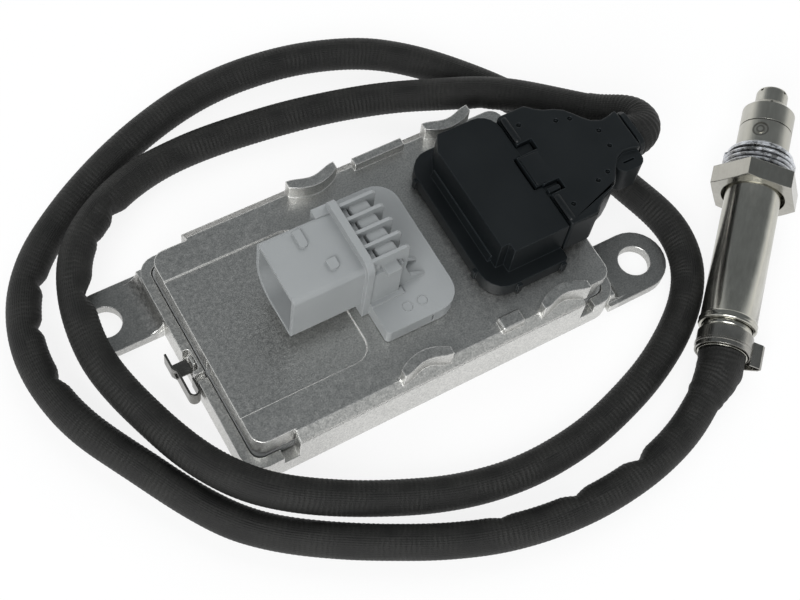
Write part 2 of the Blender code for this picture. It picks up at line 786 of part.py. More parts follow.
def cut_clip_notch(base):
    """The clip's pocket in the left rim, the hook in it, and the slot across the rim beside it."""
    out = -HALF_LENGTH - HOUSING_WALL
    inside = -HALF_LENGTH + NOTCH_DEPTH
    corners = (0.0, NOTCH_CORNER, NOTCH_CORNER, 0.0)
    pocket = rounded((out, NOTCH_START), (inside, NOTCH_END), corners, 3)
    cut(base, slab("clip pocket", pocket, NOTCH_FLOOR, 2 * RIM_HEIGHT))
    slot_low = (out, CROSS_SLOT_START, CROSS_SLOT_FLOOR)
    slot_high = (-HALF_LENGTH + TRAY_WALL, CROSS_SLOT_START + CROSS_SLOT_WIDTH, 2 * RIM_HEIGHT)
    cut(base, block("cross slot", slot_low, slot_high))
    middle = (NOTCH_START + NOTCH_END) / 2
    hook_start = -HALF_LENGTH + HOOK_PLACE
    hook_low = (hook_start, middle - HOOK_LENGTH / 2, NOTCH_FLOOR / 2)
    hook_high = (hook_start + HOOK_WIDTH, middle + HOOK_LENGTH / 2, RIM_HEIGHT)
    fuse(base, block("hook", hook_low, hook_high))


def build_cover(finish):
    """The cast cover: a skirted lid with sloped lips, a shallow recess, lugs and header windows."""
    low = (-COVER_HALF_LENGTH, -COVER_HALF_WIDTH)
    high = (COVER_HALF_LENGTH, COVER_HALF_WIDTH)
    corner = [COVER_CORNER] * 4
    cover = slab("housing_cover", rounded(low, high, corner), SKIRT_BOTTOM, COVER_TOP)
    wide_high = (high[0] + COVER_OVERHANG, high[1])
    fuse(cover, slab("end overhang", rounded((0, low[1]), wide_high, corner), LIP_BOTTOM, COVER_TOP))
    top_edge = HALF_WIDTH - LIP_SLOPE
    lip = [
        (-HALF_WIDTH, LIP_BOTTOM),
        (HALF_WIDTH, LIP_BOTTOM),
        (top_edge, COVER_TOP),
        (-top_edge, COVER_TOP),
    ]
    fuse(cover, prism_x("long lips", lip, LONG_WALL_START, LONG_WALL_END))
    wall = COVER_SKIRT
    hollow_low, hollow_high = (low[0] + wall, low[1] + wall), (high[0] - wall, high[1] - wall)
    hollow_corner = [COVER_CORNER - COVER_SKIRT] * 4
    hollow = rounded(hollow_low, hollow_high, hollow_corner)
    cut(cover, slab("cover hollow", hollow, -COVER_TOP, LIP_BOTTOM))
    recess_low = (-2 * HALF_LENGTH, RECESS_FRONT)
    recess_high = (RECESS_END, RECESS_BACK)
    recess = rounded(recess_low, recess_high, [RECESS_CORNER] * 4)
    cut(cover, slab("cover recess", recess, COVER_TOP - RECESS_DEPTH, 2 * COVER_TOP))
    add_lugs(cover)
    cut_header_windows(cover)
    groove_low = (2 * low[0], CROSS_SLOT_START, 0)
    groove_end = CROSS_SLOT_START + CROSS_SLOT_WIDTH
    groove_high = (low[0] + COVER_SKIRT / 2, groove_end, COVER_TOP - COVER_PLATE / 3)
    cut(cover, block("side groove", groove_low, groove_high))
    return dress(cover, finish)


def lug_outline(centre, side):
    """Outline of one curved lug, which bulges away from the long edge on the given side."""
    half = LUG_LENGTH / 2
    steps = 12
    across = [half * (2 * i / steps - 1) for i in range(steps + 1)]
    inner = [LUG_END_WIDTH / 2 + LUG_BULGE * (1 - (u / half) ** 2) for u in across]
    wave = [max(math.cos(math.pi * u / half), -1.0) if abs(u) < half else -1.0 for u in across]
    outer = [-LUG_END_WIDTH / 2 + LUG_HOLLOW * (1 + w) / 2 for w in wave]
    base_line = HALF_WIDTH - LUG_INSET
    line = [(centre + u, side * (base_line - v)) for u, v in zip(across, inner)]
    back = [(centre + u, side * (base_line - v)) for u, v in zip(across[::-1], outer[::-1])]
    return line + back


def add_lugs(cover):
    """Two pairs of curved lugs, a straight bar at the back and a small block at the front."""
    top = COVER_TOP + LUG_HEIGHT
    bottom = LIP_BOTTOM + FOOT_IN_COVER
    for centre in LUG_CENTRES:
        for side in (-1, 1):
            lug = slab("lug", lug_outline(centre, side), bottom, top)
            round_edges(lug, CAST_EDGE, 1, 60)
            fuse(cover, lug)
    bar_back = HALF_WIDTH - LIP_SLOPE * 0.7
    bar_low = (BAR_START, bar_back - BAR_WIDTH, bottom)
    fuse(cover, block("bar", bar_low, (BAR_START + BAR_LENGTH, bar_back, COVER_TOP + BAR_HEIGHT)))
    block_front = -HALF_WIDTH + LIP_SLOPE * 0.7
    block_end = (BLOCK_START + BLOCK_LENGTH, block_front + BLOCK_WIDTH, COVER_TOP + BLOCK_HEIGHT)
    small = block("small block", (BLOCK_START, block_front, bottom), block_end)
    round_edges(small, CAST_EDGE, 1)
    fuse(cover, small)


def vehicle_rows():
    """The place of each blade contact: its Y, its row height and its leg's X."""
    middle = (SOCKET_FRONT + SOCKET_BACK) / 2
    rows = ((BLADE_UPPER_ROW, BLADE_UPPER_LEG), (BLADE_LOWER_ROW, BLADE_LOWER_LEG))
    sides = (-BLADE_SPACING / 2, BLADE_SPACING / 2)
    return [(middle + side, height, leg) for height, leg in rows for side in sides]


def sensor_rows():
    """The place of each sensor pin: its Y, its row height and its leg's X."""
    first = -(PIN_COUNT - 1) * PIN_PITCH / 2
    heights = (PIN_UPPER_ROW, PIN_LOWER_ROW)
    return [(first + i * PIN_PITCH, heights[i % 2], PIN_LEG) for i in range(PIN_COUNT)]


def lead_outline(tip, leg, height, foot, thickness):
    """Outline in (x, z) of a contact that runs from its tip to its leg and down to its foot."""
    way = 1 if leg > tip else -1
    half = thickness / 2
    return [
        (tip, height + half),
        (leg + way * half, height + half),
        (leg + way * half, foot),
        (leg - way * half, foot),
        (leg - way * half, height - half),
        (tip, height - half),
    ]


def lead(name, tip, row, thickness, width, clearance=0.0):
    """A bent contact, or the hollow for one where clearance is given."""
    y, height, leg = row
    way = 1 if leg > tip else -1
    start = tip - way * clearance
    foot = PIN_FOOT - 2 * clearance
    outline = lead_outline(start, leg, height, foot, thickness + 2 * clearance)
    half = width / 2 + clearance
    return prism_y(name, outline, y - half, y + half)


def cut_header_windows(cover):
    """The two windows in the cover through which the contacts reach the board."""
    blades = vehicle_rows()
    reach = BLADE_WIDTH / 2 + BLADE_THICKNESS
    window_low = (min(r[2] for r in blades) - reach, min(r[0] for r in blades) - reach, SKIRT_BOTTOM)
    window_high = (max(r[2] for r in blades) + reach, max(r[0] for r in blades) + reach, 2 * COVER_TOP)
    cut(cover, block("blade window", window_low, window_high))
    pins = sensor_rows()
    margin = 2 * PIN_SIDE
    pin_low = (PIN_LEG - margin, min(r[0] for r in pins) - margin, SKIRT_BOTTOM)
    pin_high = (PIN_LEG + margin, max(r[0] for r in pins) + margin, 2 * COVER_TOP)
    cut(cover, block("pin window", pin_low, pin_high))


def build_seal(finish):
    """The ring of sealant on the tray's ledge, under the cover's skirt."""
    bottom = LEDGE_HEIGHT + GAP
    seal = slab("housing_seal", inner_outline(HOUSING_WALL + GAP), bottom, bottom + SEAL_THICKNESS)
    inner_low = (-COVER_HALF_LENGTH + COVER_SKIRT, -COVER_HALF_WIDTH + COVER_SKIRT)
    inner_high = (COVER_HALF_LENGTH - COVER_SKIRT, COVER_HALF_WIDTH - COVER_SKIRT)
    inner = rounded(inner_low, inner_high, [COVER_CORNER - COVER_SKIRT] * 4)
    cut(seal, slab("seal hollow", inner, 0, 2 * RIM_HEIGHT))
    return dress(seal, finish)


def build_clip(finish):
    """The folded spring clip: a long loop along the rim, a stepped outer leaf and a strap to the hook."""
    inner_x = -HALF_LENGTH - GAP - CLIP_THICKNESS / 2
    outer_x = inner_x - CLIP_SPREAD
    front = CROSS_SLOT_START + CLIP_SPREAD - CLIP_REACH / 2
    loop = arc(((inner_x + outer_x) / 2, front), CLIP_SPREAD / 2, 0, -180, 8)
    leaf_x = outer_x - CLIP_STEP
    step = [(outer_x, CLIP_STEP_START), (leaf_x, CLIP_STEP_END), (leaf_x, CLIP_TOP_END)]
    path = [(inner_x, CROSS_SLOT_START + CROSS_SLOT_WIDTH)] + loop + step
    clip = slab("cover_clip", ribbon(path, CLIP_THICKNESS), CLIP_BOTTOM, CLIP_TOP)
    middle = (NOTCH_START + NOTCH_END) / 2
    strap_end = -HALF_LENGTH + HOOK_PLACE - GAP
    strap_low = (leaf_x, middle - STRAP_WIDTH / 2, STRAP_HEIGHT - CLIP_THICKNESS)
    strap_high = (strap_end, middle + STRAP_WIDTH / 2, STRAP_HEIGHT)
    fuse(clip, block("strap", strap_low, strap_high))
    return dress(clip, finish)


def build_board(finish):
    """The circuit board, drilled for the contacts that are soldered into it."""
    half_length, half_width = BOARD_LENGTH / 2, BOARD_WIDTH / 2
    outline = rounded((-half_length, -half_width), (half_length, half_width), [BOARD_CORNER] * 4, 2)
    board = slab("circuit_board", outline, BOARD_BOTTOM, BOARD_TOP)
    for y, _, leg in vehicle_rows():
        half_x, half_y = BLADE_THICKNESS / 2 + GAP, BLADE_WIDTH / 2 + GAP
        slot_low, slot_high = (leg - half_x, y - half_y, 0), (leg + half_x, y + half_y, RIM_HEIGHT)
        cut(board, block("blade slot", slot_low, slot_high))
    for y, _, leg in sensor_rows():
        half = PIN_SIDE / 2 + GAP
        slot_low, slot_high = (leg - half, y - half, 0), (leg + half, y + half, RIM_HEIGHT)
        cut(board, block("pin slot", slot_low, slot_high))
    return dress(board, finish)


def build_components(package, can, steel):
    """The larger parts on the board: two chips, a power transistor, a crystal and a capacitor."""
    bottom = BOARD_TOP + GAP
    measuring = (MEASURING_CHIP_SIDE, MEASURING_CHIP_SIDE, CHIP_HEIGHT)
    transistor = (TRANSISTOR_LENGTH, TRANSISTOR_WIDTH, TRANSISTOR_HEIGHT)
    spots = (
        ("processor_chip", PROCESSOR_PLACE, (CHIP_SIDE, CHIP_SIDE, CHIP_HEIGHT), package),
        ("measuring_chip", MEASURING_PLACE, measuring, package),
        ("heater_transistor", TRANSISTOR_PLACE, transistor, package),
        ("clock_crystal", CRYSTAL_PLACE, (CRYSTAL_LENGTH, CRYSTAL_WIDTH, CRYSTAL_HEIGHT), steel),
    )
    for name, share, (length, width, height), finish in spots:
        x, y = share[0] * BOARD_LENGTH, share[1] * BOARD_WIDTH
        low = (x - length / 2, y - width / 2, bottom)
        piece = block(name, low, (x + length / 2, y + width / 2, bottom + height))
        round_edges(piece, CHIP_EDGE, 1)
        dress(piece, finish)
    place = (CAPACITOR_PLACE[0] * BOARD_LENGTH, CAPACITOR_PLACE[1] * BOARD_WIDTH, 0)
    top = bottom + CAPACITOR_HEIGHT
    capacitor = rod("storage_capacitor", CAPACITOR_RADIUS, bottom, top, Matrix.Translation(place))
    round_edges(capacitor, CAPACITOR_EDGE, 2, 60)
    dress(capacitor, can)


def build_vehicle_header(finish):
    """The pale moulding: foot plate, upright flange, square socket, solid core and five cooling fins."""
    foot_top = HEADER_BOTTOM + HEADER_FOOT_HEIGHT
    big, small = HEADER_FOOT_CORNER, HEADER_FOOT_SMALL_CORNER
    foot_low, foot_high = (HEADER_FOOT_START, HEADER_FOOT_FRONT), (HEADER_FOOT_END, HEADER_FOOT_BACK)
    foot = rounded(foot_low, foot_high, (small, big, big, small))
    header = slab("vehicle_header", foot, HEADER_BOTTOM, foot_top)
    round_edges(header, HEADER_FOOT_EDGE, 2, 60)
    cut_foot_slot(header, foot_top)
    inside = HEADER_FOOT_START + FLANGE_THICKNESS
    corners = (FLANGE_FOOT_CORNER, FLANGE_FOOT_CORNER, FLANGE_FAR_CORNER, FLANGE_NEAR_CORNER)
    outline = rounded((FLANGE_FRONT, HEADER_BOTTOM), (FLANGE_BACK, FLANGE_TOP), corners, 4)
    flange = prism_x("flange", outline, FLANGE_START, HEADER_FOOT_START)
    round_edges(flange, FLANGE_EDGE, 2, 60)
    fuse(header, flange)
    radii = (SOCKET_CORNER, SOCKET_ROUND, SOCKET_CORNER, SOCKET_CORNER)
    shroud = rounded((SOCKET_FRONT, SOCKET_BOTTOM), (SOCKET_BACK, SOCKET_TOP), radii)
    fuse(header, prism_x("shroud", shroud, SOCKET_MOUTH, inside))
    core_front = FLANGE_FRONT + CORE_FRONT_INSET
    core_low = (HEADER_FOOT_START - FLANGE_THICKNESS / 2, core_front, HEADER_BOTTOM + GAP)
    core_high = (HEADER_FOOT_START + CORE_LENGTH, FLANGE_BACK - CORE_BACK_INSET, CORE_TOP)
    fuse(header, block("core", core_low, core_high))
    add_fins(header, foot_top)
    add_socket_details(header)
    wall = SOCKET_WALL
    hollow = rounded(
        (SOCKET_FRONT + wall, SOCKET_BOTTOM + wall),
        (SOCKET_BACK - wall, SOCKET_TOP - wall),
        [radius - wall for radius in radii],
    )
    cut(header, prism_x("socket hollow", hollow, 2 * SOCKET_MOUTH, FLANGE_START))
    for row in vehicle_rows():
        cut(header, lead("blade hollow", BLADE_TIP, row, BLADE_THICKNESS, BLADE_WIDTH, GAP))
    return dress(header, finish)


def cut_foot_slot(header, foot_top):
    """The raised step along the front wall's foot and the narrow slot in the foot plate's front."""
    step_low = (HEADER_FOOT_START, FLANGE_FRONT - HEADER_STEP_WIDTH, HEADER_BOTTOM + HEADER_FOOT_SINK)
    step_high = (HEADER_STEP_END, FLANGE_FRONT + HEADER_STEP_WIDTH, foot_top + HEADER_STEP_HEIGHT)
    fuse(header, block("foot step", step_low, step_high))
    front, depth = HEADER_FOOT_FRONT, HEADER_SLOT_DEPTH
    slot_low = (HEADER_SLOT_PLACE, front - depth, HEADER_BOTTOM + HEADER_FOOT_SINK)
    slot_high = (HEADER_SLOT_PLACE + HEADER_SLOT_WIDTH, front + depth, foot_top - HEADER_FOOT_SINK)
    cut(header, block("foot slot", slot_low, slot_high))


def add_fins(header, foot_top):
    """Upright fins that run back from the flange to the foot plate, the pads between them and a ledge."""
    middle = (FLANGE_FRONT + FLANGE_BACK) / 2 - CORE_FRONT_INSET
    root = HEADER_FOOT_START - FLANGE_THICKNESS / 2
    edge = HEADER_FOOT_START + FIN_REACH
    outline = [
        (root, HEADER_BOTTOM + GAP),
        (edge + FIN_FLARE, HEADER_BOTTOM + GAP),
        (edge + FIN_FLARE, foot_top + FIN_FLARE * 0.05),
        (edge + FIN_FLARE * 0.30, foot_top + FIN_FLARE * 0.45),
        (edge, foot_top + FIN_FLARE * 1.3),
        (edge, FIN_TOP - FIN_THICKNESS),
        (edge - FIN_THICKNESS, FIN_TOP),
        (root, FIN_TOP),
    ]
    pad_start = HEADER_FOOT_START + PAD_START
    pad_end = HEADER_FOOT_START + CORE_LENGTH - GAP
    in_fin = FIN_THICKNESS / 4
    for index in range(FIN_COUNT):
        y = middle + (index - (FIN_COUNT - 1) / 2) * FIN_PITCH
        fuse(header, prism_y("fin", outline, y - FIN_THICKNESS / 2, y + FIN_THICKNESS / 2))
        if index == 0:
            continue
        pad_low = (pad_start, y - FIN_PITCH + in_fin, CORE_TOP - PAD_SINK)
        pad = block("pad", pad_low, (pad_end, y - in_fin, PAD_TOP))
        round_edges(pad, PAD_EDGE, 2)
        fuse(header, pad)
    wall = middle - (FIN_COUNT - 1) / 2 * FIN_PITCH
    ledge_low = (NEAR_LEDGE_START, FLANGE_FRONT - NEAR_LEDGE_REACH, NEAR_LEDGE_TOP - NEAR_LEDGE_HEIGHT)
    fuse(header, block("near ledge", ledge_low, (NEAR_LEDGE_END, wall, NEAR_LEDGE_TOP)))


def add_socket_details(header):
    """The side lug by the flange and the two ramps on the socket's top that guide the mating plug."""
    lug_low = (FLANGE_START - SIDE_LUG_LENGTH, SOCKET_BACK - SOCKET_WALL / 2, SOCKET_TOP - SIDE_LUG_HEIGHT)
    lug_high = (FLANGE_START + FLANGE_THICKNESS / 2, SOCKET_BACK + SIDE_LUG_REACH, SOCKET_TOP)
    fuse(header, block("side lug", lug_low, lug_high))
    for low, high in RAMPS:
        outline = rounded(low, high, (RAMP_CORNER, RAMP_CORNER, RAMP_CORNER / 5, RAMP_CORNER / 5), 3)
        fuse(header, slab("ramp", outline, SOCKET_TOP - SOCKET_WALL / 2, SOCKET_TOP + RAMP_HEIGHT))


def build_contacts(finish):
    """Four blades of the vehicle socket and eight pins of the sensor header, bent down to the board."""
    for number, row in enumerate(vehicle_rows(), 1):
        blade = lead(f"vehicle_blade_{number}", BLADE_TIP, row, BLADE_THICKNESS, BLADE_WIDTH)
        dress(blade, finish)
    for number, row in enumerate(sensor_rows(), 1):
        pin = lead(f"sensor_pin_{number}", PIN_TIP, row, PIN_SIDE, PIN_SIDE)
        dress(pin, finish)


def build_sensor_header(finish):
    """The black moulding: foot plate and a box, open behind, that takes the sensor plug."""
    foot_top = HEADER_BOTTOM + SENSOR_FOOT_HEIGHT
    big, small = SENSOR_FOOT_CORNER, SENSOR_FOOT_SMALL_CORNER
    foot_low, foot_high = (SENSOR_FOOT_START, SENSOR_FOOT_FRONT), (SENSOR_FOOT_END, SENSOR_FOOT_BACK)
    foot = rounded(foot_low, foot_high, (big, small, small, big))
    header = slab("sensor_header", foot, HEADER_BOTTOM, foot_top)
    round_edges(header, SENSOR_FOOT_EDGE, 1, 60)
    add_foot_snaps(header, foot_top)
    corner = (BOX_END - BOX_BACK_ROUND, BOX_BACK - BOX_BACK_ROUND)
    near_step, far_step = -WINDOW_OFFSET, WINDOW_OFFSET + GAP
    outline = (
        [(BOX_START, BOX_FRONT), (BOX_END, BOX_FRONT), (BOX_END, near_step), (BOX_TAB_END, near_step)]
        + [(BOX_TAB_END, far_step), (BOX_END, far_step)]
        + arc(corner, BOX_BACK_ROUND, 0, 90, 5)
        + [(BOX_START + BOX_CHAMFER_LENGTH, BOX_BACK), (BOX_START, BOX_BACK - BOX_CHAMFER_WIDTH)]
    )
    box = slab("box", outline, HEADER_BOTTOM + GAP, BOX_TOP)
    round_edges(box, BOX_EDGE, 2)
    fuse(header, box)
    low_x, high_x = BOX_START - BOX_FILLET_REACH, BOX_START + BOX_WALL / 2
    slope = [(low_x, foot_top - BOX_FILLET_REACH), (high_x, foot_top - BOX_FILLET_REACH)]
    slope += [(high_x, foot_top + BOX_FILLET_HEIGHT), (BOX_START - GAP, foot_top + BOX_FILLET_HEIGHT)]
    fillet_front, fillet_back = BOX_FRONT + BOX_FILLET_INSET, BOX_BACK - BOX_FILLET_INSET
    fuse(header, prism_y("foot fillet", slope, fillet_front, fillet_back))
    slot_low = (BOX_START - BOX_SLOT_WIDTH, BOX_FRONT - BOX_SLOT_WIDTH, foot_top)
    slot_high = (BOX_START + BOX_SLOT_WIDTH, BOX_FRONT + BOX_SLOT_LENGTH, 2 * BOX_TOP)
    cut(header, block("corner slot", slot_low, slot_high))
    hollow_low = (BOX_START + BOX_REAR_WALL, -BOX_HOLLOW_HALF_WIDTH, HEADER_BOTTOM + BOX_WALL)
    hollow_high = (2 * BOX_END, BOX_HOLLOW_HALF_WIDTH, BOX_TOP - BOX_WALL)
    cut(header, block("box hollow", hollow_low, hollow_high))
    add_latch_arms(header)
    for row in sensor_rows():
        cut(header, lead("pin hollow", PIN_TIP, row, PIN_SIDE, PIN_SIDE, GAP))
    return dress(header, finish)


def add_foot_snaps(header, foot_top):
    """Small snap ribs round the edge of the sensor header's foot plate."""
    depth, half = SNAP_DEPTH, SNAP_WIDTH / 2
    low, high = HEADER_BOTTOM + SNAP_LIFT, foot_top - SNAP_DROP
    for y in SIDE_SNAPS:
        start, end = (SENSOR_FOOT_START - depth, y - half, low), (SENSOR_FOOT_START + depth, y + half, high)
        fuse(header, block("side snap", start, end))
    for x in FRONT_SNAPS:
        start, end = (x - half, SENSOR_FOOT_FRONT - depth, low), (x + half, SENSOR_FOOT_FRONT + depth, high)
        fuse(header, block("front snap", start, end))


def add_latch_arms(header):
    """Two arms that reach into the windows of the plug's rear cover; the near one has a raised bar."""
    start = BOX_END - ARM_ROOT
    end = REAR_START + WINDOW_LENGTH - ARM_CLEARANCE
    low, high = BOX_TOP - BOX_WALL + GAP, BOX_TOP - ARM_DROP
    for side in (-1, 1):
        near, far = sorted((side * (WINDOW_OFFSET + GAP), side * (WINDOW_OFFSET + WINDOW_WIDTH - GAP)))
        fuse(header, block("latch arm", (start, near, low), (end, far, high)))
    front = -WINDOW_OFFSET - WINDOW_WIDTH + 2 * GAP
    bar_low = (BOX_END + GAP / 2, front, low + GAP)
    bar_high = (end - GAP, front + LATCH_BAR_WIDTH, BOX_TOP + LATCH_BAR_HEIGHT)
    bar = block("latch bar", bar_low, bar_high)
    round_edges(bar, LATCH_BAR_WIDTH / 4, 2)
    fuse(header, bar)


def build_plug(black, seal_finish):
    """The plug body inside the sensor header, with its eight bores, and the seal round it."""
    start = BOX_START + BOX_REAR_WALL + PLUG_CLEARANCE
    half = BOX_HOLLOW_HALF_WIDTH - PLUG_CLEARANCE
    bottom = HEADER_BOTTOM + BOX_WALL + PLUG_CLEARANCE
    top = BOX_TOP - BOX_WALL - PLUG_CLEARANCE
    spigot_bottom = REAR_BOTTOM + REAR_WALL + GAP
    end = BOX_TAB_END - PLUG_SETBACK
    plug = block("plug_body", (start, -half, bottom), (end, half, top))
    spigot_low = (end - PLUG_SETBACK, -half, spigot_bottom)
    spigot_high = (REAR_START + PLUG_SPIGOT_LENGTH, half, top - PLUG_SPIGOT_STEP)
    fuse(plug, block("spigot", spigot_low, spigot_high))
    seal_start = end - SEAL_SETBACK - SEAL_LENGTH
    seal_end = seal_start + SEAL_LENGTH
    depth = SEAL_DEPTH
    cut_groove(plug, (seal_start - GAP, seal_end + GAP), half - depth, (bottom + depth, top - depth))
    for row in sensor_rows():
        cut(plug, lead("pin bore", PIN_TIP, row, PIN_SIDE, PIN_SIDE, GAP))
    dress(plug, black)
    rise = PLUG_CLEARANCE - GAP
    seal_low, seal_high = (seal_start, -half - rise, bottom - rise), (seal_end, half + rise, top + rise)
    seal = block("plug_seal", seal_low, seal_high)
    inner = half - depth + GAP
    inner_low = (seal_start - GAP, -inner, bottom + depth - GAP)
    inner_high = (seal_end + GAP, inner, top - depth + GAP)
    cut(seal, block("seal opening", inner_low, inner_high))
    dress(seal, seal_finish)


def cut_groove(item, span, half_width, heights):
    """Cuts a groove round a box that runs along X, over the span, down to the given inner size."""
    start, end = span
    big = 2 * BOX_TOP
    ring_tool = block("groove", (start, -big, -big), (end, big, big))
    core_low = (2 * start - end, -half_width, heights[0])
    core_high = (2 * end - start, half_width, heights[1])
    cut(ring_tool, block("groove core", core_low, core_high))
    cut(item, ring_tool)


def rear_outline(inset):
    """Outline of the plug's rear cover: straight cheeks, a wavy taper and a neck that widens at its end."""
    neck, cheek = REAR_NECK_HALF_WIDTH, REAR_HALF_WIDTH
    run = REAR_NECK_START - REAR_SHOULDER
    knots = [(REAR_SHOULDER + run * t, neck + (cheek - neck) * share, 0.0) for t, share in REAR_TAPER]
    knots.append((REAR_END, REAR_END_HALF_WIDTH, 0.0))
    side = [(x, y) for x, y, _ in smooth_path(knots, run / 6)]
    far = [(REAR_START + inset, cheek - inset)] + [(x - inset / 2, y - inset) for x, y in side]
    near = [(x, -y) for x, y in far]
    return near + far[::-1]


def build_rear_cover(finish):
    """The plug's hollow rear cover with its front tab, latch windows, marker pits and slotted boss."""
    rear = slab("plug_rear_cover", rear_outline(0.0), REAR_BOTTOM, REAR_TOP)
    round_edges(rear, REAR_EDGE, 2)
    tab_low = (REAR_START - REAR_TAB_LENGTH, -WINDOW_OFFSET + GAP, REAR_TOP - REAR_WALL)
    tab_high = (REAR_START + REAR_EDGE, WINDOW_OFFSET, REAR_TOP - REAR_TAB_DROP)
    fuse(rear, block("front tab", tab_low, tab_high))
    add_neck_boss(rear)
    hollow = [(x, y) for x, y in rear_outline(REAR_WALL) if x < REAR_NECK_START]
    cut(rear, slab("rear hollow", hollow, REAR_BOTTOM + REAR_WALL, REAR_TOP - REAR_WALL))
    half = REAR_HALF_WIDTH - REAR_WALL
    mouth_low = (REAR_START - REAR_WALL / 2, -half, REAR_BOTTOM + REAR_WALL)
    mouth_high = (REAR_START + 2 * REAR_WALL, half, REAR_TOP - REAR_WALL)
    cut(rear, block("rear mouth", mouth_low, mouth_high))
    neck_frame = Matrix.Translation((0, 0, NECK_HEIGHT)) @ Matrix.Rotation(math.radians(90), 4, "Y")
    cut(rear, rod("wire bore", WIRE_BORE, REAR_SHOULDER, 2 * REAR_END, neck_frame))
    for side in (-1, 1):
        near, far = sorted((side * WINDOW_OFFSET, side * (WINDOW_OFFSET + WINDOW_WIDTH)))
        window_low = (REAR_START - REAR_WALL / 2, near, REAR_TOP - 2 * REAR_WALL)
        cut(rear, block("latch window", window_low, (REAR_START + WINDOW_LENGTH, far, 2 * REAR_TOP)))
        for x, y in PITS:
            place = Matrix.Translation((REAR_START + x, side * y, 0))
            cut(rear, rod("pit", PIT_RADIUS, REAR_TOP - PIT_DEPTH, 2 * REAR_TOP, place, 12))
    return dress(rear, finish)


def add_neck_boss(rear):
    """The rounded boss on the near side of the neck, with a narrow slot in its top."""
    outline = rounded((BOSS_START, BOSS_FRONT), (BOSS_END, 0.0), [BOSS_CORNER] * 4, 4)
    boss = slab("neck boss", outline, BOSS_BOTTOM, BOSS_TOP)
    round_edges(boss, REAR_EDGE, 2, 60)
    fuse(rear, boss)
    middle = (BOSS_START + BOSS_END) / 2
    slot_y = (BOSS_FRONT - REAR_NECK_HALF_WIDTH) / 2
    slot_low = (middle - BOSS_SLOT_LENGTH / 2, slot_y, BOSS_TOP - BOSS_SLOT_DEPTH)
    slot_high = (middle + BOSS_SLOT_LENGTH / 2, slot_y + BOSS_SLOT_WIDTH, BOSS_TOP + BOSS_SLOT_DEPTH)
    cut(rear, block("boss slot", slot_low, slot_high))


def build_collar(finish):
    """The square-shouldered collar that holds the cable's sleeve on the plug's neck."""
    half = REAR_END_HALF_WIDTH - GAP
    low, high = (-half, REAR_NECK_BOTTOM), (half, REAR_TOP - GAP)
    start = REAR_END + GAP
    outline = rounded(low, high, [COLLAR_CORNER] * 4, 4)
    collar = prism_x("cable_collar", outline, start, start + COLLAR_LENGTH)
    round_edges(collar, COLLAR_EDGE, 2, 60)
    frame = Matrix.Translation((0, 0, NECK_HEIGHT)) @ Matrix.Rotation(math.radians(90), 4, "Y")
    cut(collar, rod("collar bore", WIRE_BORE, REAR_END, start + 2 * COLLAR_LENGTH, frame))
    return dress(collar, finish)


def build_cable(cable_finish, sleeve_finish):
    """The pleated sleeve that turns back behind the plug, the free cable and the boot at the probe."""
    bend = smooth_path(SLEEVE_ROUTE, SLEEVE_POINT_SPACING)
    flare = SLEEVE_MOUTH_RADIUS - CABLE_RADIUS
    pleats = []
    for index in range(len(bend)):
        wide = max(0.0, 1 - index / SLEEVE_TAPER_POINTS)
        pleats.append(CABLE_RADIUS + flare * wide - PLEAT_DEPTH * (index % 2))
    dress(tube("bend_sleeve", bend, pleats), sleeve_finish, True)
    route = smooth_path(CABLE_ROUTE, CABLE_POINT_SPACING)
    dress(tube("cable", route, [CABLE_RADIUS] * len(route)), cable_finish, True)


def probe_frame():
    """Frame of the probe: Z along its axis towards the tip, Y upwards."""
    heading, tilt = math.radians(PROBE_HEADING), math.radians(PROBE_TILT)
    along = Vector((math.cos(heading) * math.cos(tilt), math.sin(heading) * math.cos(tilt), math.sin(tilt)))
    up = (Vector((0, 0, 1)) - along * along.z).normalized()
    across = up.cross(along)
    frame = Matrix((across, up, along)).transposed().to_4x4()
    frame.translation = Vector(PROBE_START)
    return frame


def build_boot(finish, frame):
    """The tapered boot between the cable and the probe's end sleeve."""
    start = Vector(CABLE_ROUTE[-1])
    before = (start - Vector(CABLE_ROUTE[-2])).normalized()
    entry = frame @ Vector((0, 0, -GAP))
    along = frame.to_3x3() @ Vector((0, 0, 1))
    first = start + before * 2 * GAP
    third = (entry - first).length / 3
    route = [first, first + before * third, entry - along * third, entry]
    spacing = (entry - first).length / BOOT_SECTIONS
    points = smooth_path([tuple(p) for p in route], spacing)
    full = BOOT_FULL_SHARE * (len(points) - 1)
    rise = BOOT_RADIUS - CABLE_RADIUS
    radii = [CABLE_RADIUS + rise * min(1.0, index / full) for index in range(len(points))]
    return dress(tube("cable_boot", points, radii), finish, True)


def build_clamp(finish, frame):
    """The crimped band over the joint of boot and sleeve, with its folded ear."""
    inner = END_SLEEVE_RADIUS + GAP
    outer = inner + CLAMP_THICKNESS
    middle = (inner + outer) / 2
    start, end = GAP, GAP + CLAMP_WIDTH
    clamp = ring("band_clamp", outer, inner, start, end, frame)
    tip = -middle - CLAMP_EAR
    ear = [
        (-middle, CLAMP_EAR_DROP * 0.3),
        (tip + CLAMP_THICKNESS, CLAMP_EAR_DROP * 0.1),
        (tip, -CLAMP_EAR_DROP * 0.1),
        (tip + CLAMP_THICKNESS, -CLAMP_EAR_DROP * 0.45),
        (-middle * math.cos(math.radians(27)), -middle * math.sin(math.radians(27))),
    ]
    fuse(clamp, slab("ear", ribbon(ear, CLAMP_THICKNESS), start - CLAMP_EAR_OVERHANG, end, frame))
    return dress(clamp, finish)


